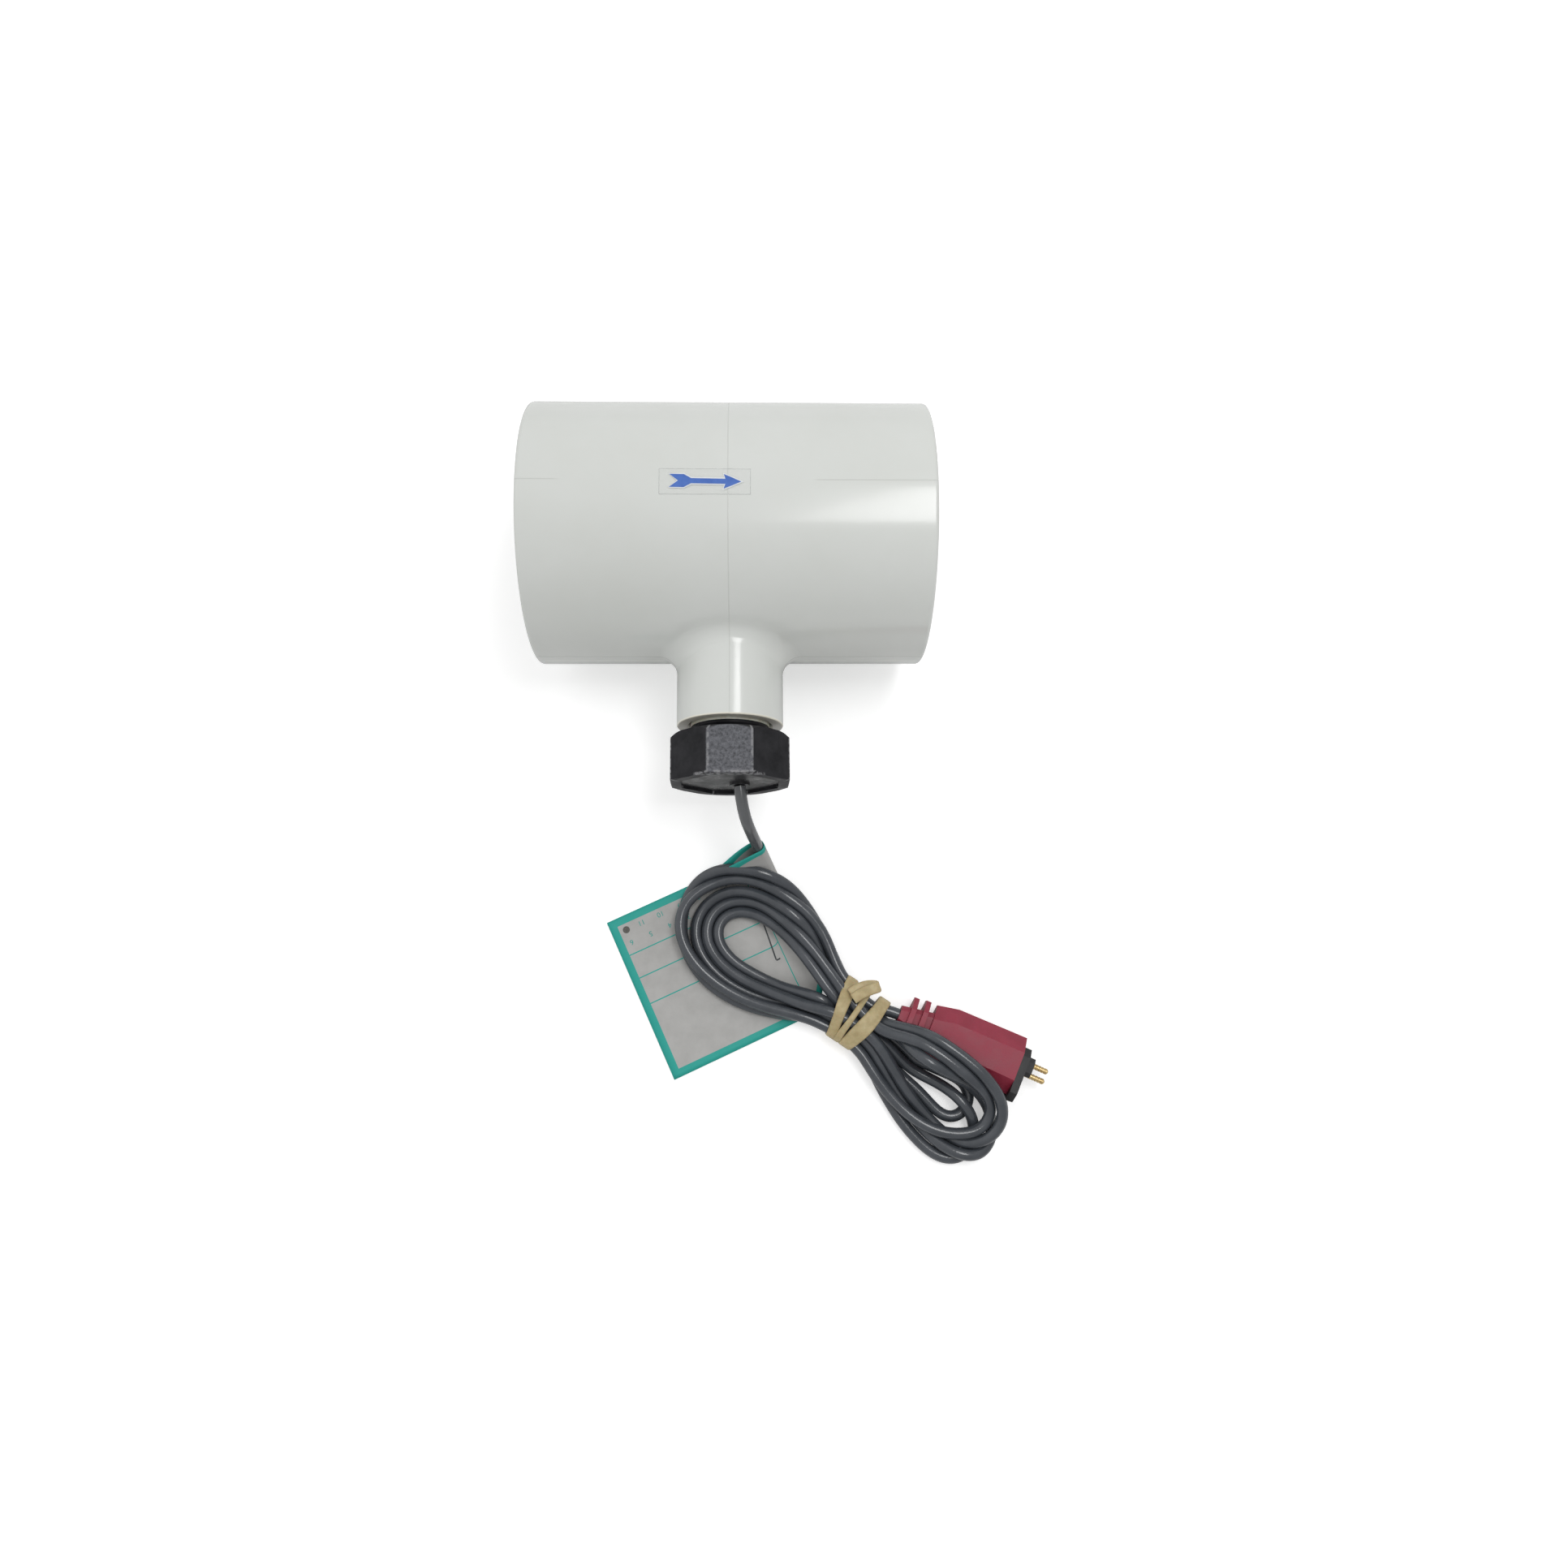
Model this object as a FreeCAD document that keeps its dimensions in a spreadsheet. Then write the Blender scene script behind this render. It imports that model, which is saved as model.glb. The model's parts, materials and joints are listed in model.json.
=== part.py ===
"""Paddle flow switch in a solvent-weld reducing tee, with its lead tied in a hank and a two-pin plug.

Millimetres. The part lies flat: +X is the direction of flow, +Z is up and the branch points to -Y.
The origin is on the surface that the part lies on, below the middle of the tee and its switch.
"""

import FreeCAD, Part
import math
import os

import Sketcher
from FreeCAD import Placement, Rotation, Vector

SIZES = [
    # tee: run with two pipe sockets, and a threaded branch
    ("run_outer", 70.0),
    ("run_length", 104.5),
    ("run_edge", 1.0),
    ("socket_bore", 60.6),
    ("socket_deep", 35.0),
    ("socket_lead", 1.4),
    ("pipe_bore", 52.5),
    ("branch_outer", 28.3),
    ("branch_reach", 54.2),
    ("branch_blend", 5.0),
    ("branch_rim", 0.4),
    ("thread_bore", 21.0),
    ("thread_deep", 17.0),
    ("passage_bore", 18.6),
    # switch body: octagonal head, threaded shank, stem and fork
    ("head_flats", 31.0),
    ("head_face", 57.2),
    ("head_end", 69.8),
    ("head_facet", 11.3),
    ("head_turn", -1.0),
    ("head_bevel", 2.2),
    ("end_bevel", 0.5),
    ("tape_thick", 0.2),
    ("neck_dia", 19.0),
    ("stem_dia", 14.6),
    ("stem_tip", 20.4),
    ("well_wall", 2.7),
    ("well_deep", 2.6),
    ("well_fill", 1.8),
    ("pocket_dia", 11.0),
    ("pocket_end", 53.0),
    ("reed_bore", 5.6),
    ("reed_end", 35.6),
    ("fork_gap", 8.4),
    ("fork_root", 30.4),
    ("tail_root", 34.0),
    ("rest_ledge", 2.9),
    # paddle, its pin, magnet and spring, about the pivot
    ("pivot_reach", 24.0),
    ("pin_dia", 2.0),
    ("pin_play", 0.06),
    ("pin_length", 13.2),
    ("hub_dia", 6.4),
    ("hub_half", 3.9),
    ("hub_top", 0.8),
    ("blade_thick", 1.8),
    ("blade_half", 7.2),
    ("blade_neck", 8.5),
    ("blade_reach", 36.0),
    ("rib_thick", 3.6),
    ("rib_half", 1.5),
    ("rib_reach", 29.0),
    ("tail_thick", 5.2),
    ("tail_low", 3.6),
    ("tail_high", 2.9),
    ("tail_reach", 8.2),
    ("magnet_dia", 4.0),
    ("magnet_length", 5.0),
    ("spring_wire", 0.4),
    ("spring_radius", 2.0),
    ("spring_turns", 3.0),
    ("spring_pitch", 0.83),
    ("spring_low", 1.1),
    ("spring_blade_leg", 7.5),
    ("spring_ledge_leg", 8.4),
    ("spring_lean", 2.7),
    # sealed reed and its wiring
    ("glass_dia", 2.2),
    ("glass_length", 14.0),
    ("glass_wall", 0.3),
    ("glass_start", 37.6),
    ("glass_side", 0.9),
    ("glass_seal", 1.2),
    ("blade_wire", 0.5),
    ("blade_root", 1.6),
    ("blade_flat", 1.0),
    ("blade_sheet", 0.16),
    ("blade_overlap", 1.0),
    ("blade_gap", 0.1),
    ("joint_offset", 1.0),
    ("core_dia", 1.1),
    ("sleeve_dia", 1.5),
    ("sleeve_length", 3.4),
    ("jacket_end", 60.0),
    # cord, where it leaves the head, and what is on it
    ("cord_dia", 3.2),
    ("exit_side", 2.5),
    ("exit_drop", 2.5),
    ("exit_boss", 5.4),
    ("label_side", 48.0),
    ("label_thick", 0.4),
    ("band_thick", 0.9),
    ("band_wide", 2.6),
    ("band_step", 3.4),
    ("hank_thick", 8.2),
    ("waist_half", 7.6),
    ("waist_tall", 9.8),
    # plug: overmould, nose and pins, along its own axis
    ("plug_length", 26.2),
    ("plug_wide", 16.4),
    ("plug_rear", 13.2),
    ("plug_tall", 10.0),
    ("plug_bevel", 4.2),
    ("plug_shoulder", 6.0),
    ("plug_rear_drop", 1.6),
    ("relief_length", 9.0),
    ("relief_core", 6.0),
    ("relief_bevel", 1.4),
    ("relief_rib", 1.4),
    ("relief_ribs", 2.0),
    ("relief_pitch", 3.3),
    ("relief_taper", 0.9),
    ("cord_grip", 4.0),
    ("tenon_length", 2.0),
    ("tenon_wide", 11.6),
    ("tenon_tall", 7.0),
    ("tenon_bevel", 1.6),
    ("flange_reach", 2.1),
    ("flange_wide", 15.2),
    ("flange_tall", 9.6),
    ("flange_bevel", 2.4),
    ("flange_side", -2.0),
    ("boss_reach", 4.3),
    ("boss_wide", 5.4),
    ("boss_tall", 5.0),
    ("boss_bevel", 1.2),
    ("boss_side", 1.0),
    ("contact_dia", 1.6),
    ("contact_length", 4.6),
    ("contact_pitch", 2.9),
    ("contact_side", 0.45),
    ("groove_pitch", 0.8),
    ("groove_wide", 0.3),
    ("groove_deep", 0.15),
]

# Arrow label on the crown of the run
ARROW_LABEL = {"start": -16.8, "end": 5.7, "front": -4.3, "back": 2.4, "thick": 0.12}

# The cord from the head to the hank, as points from the middle of the tee's run (X, Y) and up from the floor
LEAD_ROUTE = [
    (2.5, -69.8, 32.5),
    (3.3, -76.6, 32.0),
    (5.6, -81.4, 25.0),
    (7.3, -83.2, 15.0),
    (9.6, -86.8, 5.6),
    (13.4, -94.6, 2.1),
    (17.2, -102.9, 2.1),
]
LEAD_INSIDE = 9.8  # jacketed cord held in the potting, behind the exit
LABEL_START = 0.47  # share of the lead at which the flag label takes hold of it
LABEL_CORNERS = [(-35.9, -103.1), (-15.8, -146.8)]  # the label's free edge
LABEL_LIFT = 14.0  # how much of its upper edge the cord lifts off the table

# Hank: the waist that the band ties, and the far end of each lobe as (X, Y, radius)
WAIST = (34.0, -129.7)
WAIST_HEADING = -34.0
WAIST_CORNER = 3.0
UPPER_END = (1.1, -105.4, 18.8)
UPPER_HOLE_END = (5.6, -107.6, 8.4)
UPPER_HOLE_TIP = (21.0, -118.8, 1.6)
LOWER_END = (61.4, -153.0, 14.6)
LOBE_START = 13.0
LOBE_START_RADIUS = 6.4
LOWER_TILT = 22.0
LOWER_THICK = 7.0
LOBE_BEVEL = 2.2

# Plug: the middle of its rear face, and where its axis points
PLUG_REAR = (54.8, -133.1)
PLUG_HEADING = -24.0
TAIL_ROUTE_START = (38.2, -127.4, 5.6)

# Wiring behind the reed: how far a lead reaches into its sleeve, the two cores' spread in the jacket,
# and their straight ends
SOLDER_REACH = 2.0
CORE_SPREAD = 0.7
CORE_STRAIGHT = 2.6
CORE_ENTRY = 1.2

doc = FreeCAD.newDocument("FlowSwitch")
parts = []


def make_sheet():
    """The driving dimensions, one alias to a row."""
    table = doc.addObject("Spreadsheet::Sheet", "Sheet")
    derived = [
        ("run_z", "=run_outer / 2"),
        ("run_y", "=(head_end - run_outer / 2) / 2"),
        ("shank_dia", "=thread_bore - 2 * tape_thick"),
    ]
    for row, (alias, value) in enumerate(SIZES + derived, start=1):
        table.set(f"A{row}", alias)
        table.set(f"B{row}", str(value))
        table.setAlias(f"B{row}", alias)
    doc.recompute()
    return table


sheet = make_sheet()


def size(name):
    return float(getattr(sheet, name))


def tee_frame():
    """Where the axes of run and branch meet."""
    return Placement(Vector(0, size("run_y"), size("run_z")), Rotation())


def seat_on_tee(item):
    item.Placement = tee_frame()
    item.setExpression("Placement.Base.y", "Sheet.run_y")
    item.setExpression("Placement.Base.z", "Sheet.run_z")


def new_body(label):
    body = doc.addObject("PartDesign::Body", label)
    parts.append(body)
    return body


def new_sketch(body, name, role, offset="0"):
    """A sketch on one of the body's own planes, moved along that plane's normal."""
    sketch = body.newObject("Sketcher::SketchObject", name)
    plane = next(f for f in body.Origin.OriginFeatures if f.Role == role)
    sketch.AttachmentSupport = [(plane, "")]
    sketch.MapMode = "FlatFace"
    sketch.setExpression("AttachmentOffset.Base.z", offset)
    return sketch


def sheet_value(expression):
    return float(sheet.evalExpression(expression))


def drive(sketch, kind, expression, *where):
    """Adds a dimension that follows the sheet."""
    index = sketch.addConstraint(Sketcher.Constraint(kind, *where, sheet_value(expression)))
    if "Sheet." in expression:
        sketch.setExpression(f"Constraints[{index}]", expression)


def place(sketch, geometry, end, x, y):
    """Holds a point at (x, y) from the sketch's origin."""
    for kind, expression, axis in (("DistanceX", x, -2), ("DistanceY", y, -1)):
        if abs(sheet_value(expression)) < 1e-9:
            sketch.addConstraint(Sketcher.Constraint("PointOnObject", geometry, end, axis))
        else:
            drive(sketch, kind, expression, -1, 1, geometry, end)


def outline(body, name, role, points, offset="0"):
    """A closed outline of straight edges, each corner given by two expressions."""
    sketch = new_sketch(body, name, role, offset)
    flat = [Vector(sheet_value(x), sheet_value(y), 0) for x, y in points]
    count = len(flat)
    for k in range(count):
        sketch.addGeometry(Part.LineSegment(flat[k], flat[(k + 1) % count]))
    for k in range(count):
        sketch.addConstraint(Sketcher.Constraint("Coincident", k, 2, (k + 1) % count, 1))
    for k, (x, y) in enumerate(points):
        place(sketch, k, 1, x, y)
    return sketch


def box_outline(body, name, role, x0, x1, y0, y1, offset="0"):
    return outline(body, name, role, [(x0, y0), (x1, y0), (x1, y1), (x0, y1)], offset)


def ring(body, name, role, radius, centre=("0", "0"), offset="0"):
    """A circle whose radius follows the sheet."""
    sketch = new_sketch(body, name, role, offset)
    middle = Vector(sheet_value(centre[0]), sheet_value(centre[1]), 0)
    sketch.addGeometry(Part.Circle(middle, Vector(0, 0, 1), sheet_value(radius)))
    place(sketch, 0, 3, *centre)
    drive(sketch, "Radius", radius, 0)
    return sketch


def grow(body, kind, name, sketch, length, midplane=False, reverse=False):
    """A Pad or Pocket of a length that follows the sheet."""
    feature = body.newObject(f"PartDesign::{kind}", name)
    feature.Profile = sketch
    feature.setExpression("Length", length)
    feature.Length = sheet_value(length)
    feature.SideType = "Symmetric" if midplane else "One side"
    feature.Reversed = reverse
    doc.recompute()
    return feature


def turn(body, kind, name, sketch, axis):
    """A Revolution or Groove, all the way round one of the sketch's axes."""
    feature = body.newObject(f"PartDesign::{kind}", name)
    feature.Profile = sketch
    feature.ReferenceAxis = (sketch, [axis])
    feature.Angle = 360
    doc.recompute()
    return feature


def soften(body, kind, name, size_name, chosen):
    """A Fillet or Chamfer on the edges of the body's tip that `chosen` accepts."""
    base = body.Tip
    edges = [f"Edge{k}" for k, e in enumerate(base.Shape.Edges, start=1) if chosen(e)]
    feature = body.newObject(f"PartDesign::{kind}", name)
    feature.Base = (base, edges)
    feature.setExpression("Radius" if kind == "Fillet" else "Size", f"Sheet.{size_name}")
    doc.recompute()
    return feature


def solid_part(label, shape):
    """A sub-part whose shape is set with Part's own functions, already in place."""
    item = doc.addObject("Part::Feature", label)
    item.Shape = shape
    parts.append(item)
    return item


def rod(label, diameter, length, base, direction):
    """A round bar whose diameter and length follow the sheet."""
    item = doc.addObject("Part::Cylinder", label)
    item.setExpression("Radius", f"{diameter} / 2")
    item.setExpression("Height", length)
    item.Placement = Placement(base, Rotation(Vector(0, 0, 1), direction))
    return item


def is_circle(edge, radius):
    return isinstance(edge.Curve, Part.Circle) and abs(edge.Curve.Radius - radius) < 1e-4


# ---------------------------------------------------------------- tee


def make_tee():
    """White pressure tee: one moulding, two pipe sockets with stops, and a threaded branch."""
    body = new_body("tee_body")
    run = ring(body, "RunCircle", "YZ_Plane", "Sheet.run_outer / 2")
    grow(body, "Pad", "Run", run, "Sheet.run_length", midplane=True)
    branch = ring(body, "BranchCircle", "XZ_Plane", "Sheet.branch_outer / 2")
    grow(body, "Pad", "Branch", branch, "Sheet.branch_reach")
    soften(body, "Fillet", "BranchBlend", "branch_blend", lambda e: isinstance(e.Curve, Part.BSplineCurve))
    end = "Sheet.run_length / 2"
    stop = "(Sheet.run_length / 2 - Sheet.socket_deep)"
    socket = "Sheet.socket_bore / 2"
    waterway = [
        (f"-{end}", "0"),
        (f"-{end}", f"{socket} + Sheet.socket_lead"),
        (f"-{end} + Sheet.socket_lead", socket),
        (f"-{stop}", socket),
        (f"-{stop}", "Sheet.pipe_bore / 2"),
        (stop, "Sheet.pipe_bore / 2"),
        (stop, socket),
        (f"{end} - Sheet.socket_lead", socket),
        (end, f"{socket} + Sheet.socket_lead"),
        (end, "0"),
    ]
    turn(body, "Groove", "Waterway", outline(body, "WaterwayHalf", "XY_Plane", waterway), "H_Axis")
    thread_end = "-(Sheet.branch_reach - Sheet.thread_deep)"
    bore = [
        ("0", "-Sheet.branch_reach"),
        ("Sheet.thread_bore / 2 + 0.9", "-Sheet.branch_reach"),
        ("Sheet.thread_bore / 2", "-Sheet.branch_reach + 0.9"),
        ("Sheet.thread_bore / 2", thread_end),
        ("Sheet.passage_bore / 2", f"{thread_end} + 1.2"),
        ("Sheet.passage_bore / 2", "-Sheet.pipe_bore / 2 + 4"),
        ("0", "-Sheet.pipe_bore / 2 + 4"),
    ]
    turn(body, "Groove", "BranchBore", outline(body, "BranchBoreHalf", "XY_Plane", bore), "V_Axis")
    soften(body, "Fillet", "RunEdges", "run_edge", lambda e: is_circle(e, size("run_outer") / 2))
    soften(body, "Fillet", "BranchRim", "branch_rim", lambda e: is_circle(e, size("branch_outer") / 2))
    seat_on_tee(body)


def make_arrow_label():
    """Clear film label with the flow arrow, stuck along the crown of the run."""
    radius = size("run_outer") / 2
    low = math.degrees(math.asin(ARROW_LABEL["front"] / radius))
    high = math.degrees(math.asin(ARROW_LABEL["back"] / radius))
    width = ARROW_LABEL["end"] - ARROW_LABEL["start"]
    skin = Part.makeCylinder(radius + ARROW_LABEL["thick"], width, Vector(), Vector(1, 0, 0), high - low)
    skin = skin.cut(Part.makeCylinder(radius, width, Vector(), Vector(1, 0, 0)))
    crown = Part.makeCylinder(1, 1, Vector(), Vector(1, 0, 0), 1)
    seam = math.degrees(math.atan2(crown.CenterOfMass.z, crown.CenterOfMass.y)) - 0.5
    skin.rotate(Vector(), Vector(1, 0, 0), 90 - high - seam)
    item = solid_part("flow_arrow_label", skin)
    item.Placement = Placement(Vector(ARROW_LABEL["start"], 0, 0), Rotation()).multiply(item.Placement)
    item.Placement = tee_frame().multiply(item.Placement)


def make_thread_tape():
    """Sealing tape wound round the shank, filling the thread up to the rim."""
    item = doc.addObject("Part::Feature", "thread_tape")
    start = size("branch_reach") + 0.4
    length = size("thread_deep") - 1.6
    outer = Part.makeCylinder(size("thread_bore") / 2, length, Vector(0, -start, 0), Vector(0, 1, 0))
    inner = Part.makeCylinder(size("shank_dia") / 2, length, Vector(0, -start, 0), Vector(0, 1, 0))
    item.Shape = outer.cut(inner)
    seat_on_tee(item)
    parts.append(item)


# ---------------------------------------------------------------- switch body


def octagon(inset):
    """The head's eight corners, or those of an outline inset from it, each as two expressions."""
    half = f"(Sheet.head_flats / 2 - {inset})"
    side = f"(Sheet.head_facet / 2 - {inset} * tan(22.5deg))"
    corners = []
    for quarter in range(4):
        angle = f"({90 * quarter} + Sheet.head_turn) * 1deg"
        for sign in ("+", "-"):
            x = f"{half} * cos({angle}) {sign} {side} * sin({angle})"
            y = f"{half} * sin({angle}) {'-' if sign == '+' else '+'} {side} * cos({angle})"
            corners.append((x, y))
    return corners


def make_switch_body():
    """Glass-filled black moulding: octagonal head, threaded shank, sealed reed pocket and fork."""
    body = new_body("switch_body")
    shank_end = "-(Sheet.branch_reach - Sheet.thread_deep + 1.6)"
    shank = [
        ("0", "-Sheet.head_face - 1"),
        ("Sheet.neck_dia / 2", "-Sheet.head_face - 1"),
        ("Sheet.neck_dia / 2", "-Sheet.head_face + 1.2"),
        ("Sheet.shank_dia / 2", "-Sheet.head_face + 1.9"),
        ("Sheet.shank_dia / 2", shank_end),
        ("Sheet.stem_dia / 2", f"{shank_end} + 1.2"),
        ("Sheet.stem_dia / 2", "-Sheet.stem_tip - 3.6"),
        ("Sheet.stem_dia / 2 - 2.4", "-Sheet.stem_tip"),
        ("0", "-Sheet.stem_tip"),
    ]
    turn(body, "Revolution", "Shank", outline(body, "ShankHalf", "XY_Plane", shank), "V_Axis")
    head = outline(body, "HeadOctagon", "XZ_Plane", octagon("0"), "Sheet.head_face")
    grow(body, "Pad", "Head", head, "Sheet.head_end - Sheet.head_face")
    flat = "Sheet.head_flats / 2 - 0.3"
    beyond = "Sheet.head_flats / 2 + 2"
    for name, face, inward in (
        ("Near", "-Sheet.head_face", "- Sheet.head_bevel"),
        ("End", "-Sheet.head_end", "+ Sheet.end_bevel"),
    ):
        bevel = [(flat, face), (beyond, face), (beyond, f"{face} {inward}")]
        turn(body, "Groove", f"{name}Bevel", outline(body, f"{name}BevelHalf", "XY_Plane", bevel), "V_Axis")
    well = outline(body, "WellOctagon", "XZ_Plane", octagon("Sheet.well_wall"), "Sheet.head_end")
    grow(body, "Pocket", "Well", well, "Sheet.well_deep")
    cavity = [
        ("0", "-Sheet.head_end"),
        ("Sheet.pocket_dia / 2", "-Sheet.head_end"),
        ("Sheet.pocket_dia / 2", "-Sheet.pocket_end"),
        ("Sheet.reed_bore / 2", "-Sheet.pocket_end + 1.4"),
        ("Sheet.reed_bore / 2", "-Sheet.reed_end"),
        ("0", "-Sheet.reed_end"),
    ]
    turn(body, "Groove", "Cavity", outline(body, "CavityHalf", "XY_Plane", cavity), "V_Axis")
    low, high = "-Sheet.fork_gap / 2", "Sheet.fork_gap / 2"
    gap = box_outline(body, "ForkGap", "YZ_Plane", "-Sheet.fork_root", "-Sheet.stem_tip + 2", low, high)
    grow(body, "Pocket", "Fork", gap, "Sheet.stem_dia * 2", midplane=True)
    room = box_outline(
        body, "TailRoom", "YZ_Plane", "-Sheet.tail_root", "-Sheet.fork_root", low, high, "Sheet.rest_ledge"
    )
    grow(body, "Pocket", "TailSlot", room, "Sheet.stem_dia")
    hole = ring(body, "PinCircle", "XY_Plane", "Sheet.pin_dia / 2", ("0", "-Sheet.pivot_reach"))
    grow(body, "Pocket", "PinHole", hole, "Sheet.stem_dia * 2", midplane=True)
    seat_on_tee(body)


def make_potting():
    """Black resin that fills the pocket behind the reed and the well in the head's end."""
    body = new_body("potting_compound")
    pocket = ring(body, "PocketCircle", "XZ_Plane", "Sheet.pocket_dia / 2", offset="Sheet.jacket_end")
    grow(body, "Pad", "PocketFill", pocket, "Sheet.head_end - Sheet.well_deep - Sheet.jacket_end")
    well_floor = "Sheet.head_end - Sheet.well_deep"
    well = outline(body, "WellOctagon", "XZ_Plane", octagon("Sheet.well_wall"), well_floor)
    grow(body, "Pad", "WellFill", well, "Sheet.well_fill")
    centre = ("Sheet.exit_side", "-Sheet.exit_drop")
    boss = ring(body, "BossCircle", "XZ_Plane", "Sheet.exit_boss / 2", centre, well_floor)
    grow(body, "Pad", "Boss", boss, "Sheet.well_fill + 0.6")
    hole = ring(body, "CordCircle", "XZ_Plane", "Sheet.cord_dia / 2", centre)
    grow(body, "Pocket", "CordHole", hole, "Sheet.head_end + 5", reverse=True)
    seat_on_tee(body)


# ---------------------------------------------------------------- sealed reed and its wiring


def make_reed():
    """Glass capsule with two blades that overlap in its middle; the far lead folds back beside it."""
    outer, wall = size("glass_dia") / 2, size("glass_wall")
    length, start, side = size("glass_length"), size("glass_start"), -size("glass_side")
    away = Vector(0, -1, 0)
    near_end, far_end = start + length, start
    shell = Part.makeCylinder(outer, length, Vector(side, -far_end, 0), away)
    seal = size("glass_seal")
    hollow = Part.makeCylinder(outer - wall, length - 2 * seal, Vector(side, -far_end - seal, 0), away)
    wire = size("blade_wire") / 2
    leads = Part.makeCylinder(wire, length, Vector(side, -far_end, 0), away)
    seat_built("reed_glass", shell.cut(hollow).cut(leads))
    overlap, blade, flat_wide = size("blade_overlap"), size("blade_sheet"), size("blade_flat")
    root_length = size("blade_root")
    middle = (near_end + far_end) / 2
    for label, lead_end, tip, lift in (
        ("reed_blade_outer", near_end, middle - overlap, 0),
        ("reed_blade_inner", far_end, middle + overlap, -(blade + size("blade_gap"))),
    ):
        inward = 1 if lead_end == near_end else -1
        root = lead_end - inward * root_length
        stub = Part.makeCylinder(wire, root_length, Vector(side, -lead_end, 0), Vector(0, inward, 0))
        flat = Part.makeBox(flat_wide, abs(root - tip), blade)
        flat.translate(Vector(side - flat_wide / 2, -max(root, tip), lift))
        beyond = lead_run(label, side, near_end, far_end, wire)
        seat_built(label, stub.fuse([flat, beyond]))


def lead_run(label, side, near_end, far_end, wire):
    """The lead outside the glass: straight for the near blade, folded back for the far one."""
    sleeve_mid = near_end + size("joint_offset") + SOLDER_REACH
    if label == "reed_blade_outer":
        return Part.makeCylinder(wire, sleeve_mid - near_end, Vector(side, -sleeve_mid, 0), Vector(0, 1, 0))
    other = return_side()
    bend = (other - side) / 2
    top = Vector(side + bend, -far_end + bend, 0)
    fold = Part.Arc(Vector(side, -far_end, 0), top, Vector(other, -far_end, 0)).toShape()
    back = Part.LineSegment(Vector(other, -far_end, 0), Vector(other, -sleeve_mid, 0)).toShape()
    return bent_rod([fold, back], wire)


def return_side():
    """How far to the side of the reed's bore the folded lead comes back."""
    return size("reed_bore") / 2 - size("glass_side")


def seat_built(label, shape):
    """Adds a shape that is drawn about the meeting of run and branch axes."""
    item = solid_part(label, shape)
    seat_on_tee(item)
    return item


def make_wiring():
    """Heat-shrunk joints on the two leads, and the cord's two insulated cores."""
    start = size("glass_start") + size("glass_length") + size("joint_offset")
    for label, x in (("near", -size("glass_side")), ("far", return_side())):
        sleeve = Part.makeCylinder(
            size("sleeve_dia") / 2, size("sleeve_length"), Vector(x, -start, 0), Vector(0, -1, 0)
        )
        lead = Part.makeCylinder(size("blade_wire") / 2, SOLDER_REACH, Vector(x, -start, 0), Vector(0, -1, 0))
        core_start = Vector(x, -start - SOLDER_REACH, 0)
        aside = math.copysign(CORE_SPREAD, x)
        core_end = Vector(size("exit_side") + aside, -size("jacket_end"), -size("exit_drop"))
        bend_one = core_start - Vector(0, CORE_STRAIGHT, 0)
        bend_two = core_end + Vector(0, CORE_ENTRY, 0)
        core = rounded_tube([core_start, bend_one, bend_two, core_end], size("core_dia") / 2)[0]
        seat_built(f"lead_sleeve_{label}", sleeve.cut(lead).cut(core))
        seat_built(f"core_wire_{label}", core)


# ---------------------------------------------------------------- paddle


def make_paddle():
    """Moulded paddle: a rounded leaf on a hub, with a short tail behind the pivot for the magnet."""
    body = new_body("paddle")
    hub = ring(body, "HubCircle", "XY_Plane", "Sheet.hub_dia / 2", offset="-Sheet.hub_half")
    grow(body, "Pad", "Hub", hub, "Sheet.hub_half + Sheet.hub_top")
    shoulder = "Sheet.blade_reach - Sheet.blade_half"
    slope = "Sheet.blade_neck - 3.6"
    neck = [
        ("0", "-Sheet.hub_half"),
        (slope, "-Sheet.hub_half"),
        ("Sheet.blade_neck", "-Sheet.blade_half"),
        (shoulder, "-Sheet.blade_half"),
        (shoulder, "Sheet.blade_half"),
        ("Sheet.blade_neck", "Sheet.blade_half"),
        (slope, "Sheet.hub_half"),
        ("0", "Sheet.hub_half"),
    ]
    leaf = outline(body, "LeafOutline", "YZ_Plane", neck)
    grow(body, "Pad", "Leaf", leaf, "Sheet.blade_thick", midplane=True)
    tip = ring(body, "TipCircle", "YZ_Plane", "Sheet.blade_half", (shoulder, "0"))
    grow(body, "Pad", "Tip", tip, "Sheet.blade_thick", midplane=True)
    low, high = "-Sheet.rib_half", "Sheet.rib_half"
    spine = box_outline(body, "SpineBox", "YZ_Plane", "0", "Sheet.rib_reach", low, high)
    grow(body, "Pad", "Spine", spine, "Sheet.rib_thick", midplane=True)
    low, high = "-Sheet.tail_low", "Sheet.tail_high"
    tail = box_outline(body, "TailBox", "YZ_Plane", "-Sheet.tail_reach", "0", low, high)
    grow(body, "Pad", "Tail", tail, "Sheet.tail_thick", midplane=True)
    seat = ring(body, "MagnetCircle", "XZ_Plane", "Sheet.magnet_dia / 2", offset="Sheet.tail_reach")
    grow(body, "Pocket", "MagnetSeat", seat, "Sheet.magnet_length")
    room = ring(body, "SpringCircle", "XY_Plane", "Sheet.spring_radius + 0.8", offset="Sheet.hub_top")
    grow(body, "Pocket", "SpringRoom", room, "Sheet.hub_half + 1", reverse=True)
    bore = ring(body, "BoreCircle", "XY_Plane", "Sheet.pin_dia / 2 + Sheet.pin_play")
    grow(body, "Pocket", "Bore", bore, "Sheet.hub_half * 4", midplane=True)
    body.Placement = pivot_frame()
    body.setExpression("Placement.Base.y", "Sheet.run_y - Sheet.pivot_reach")
    body.setExpression("Placement.Base.z", "Sheet.run_z")


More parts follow.
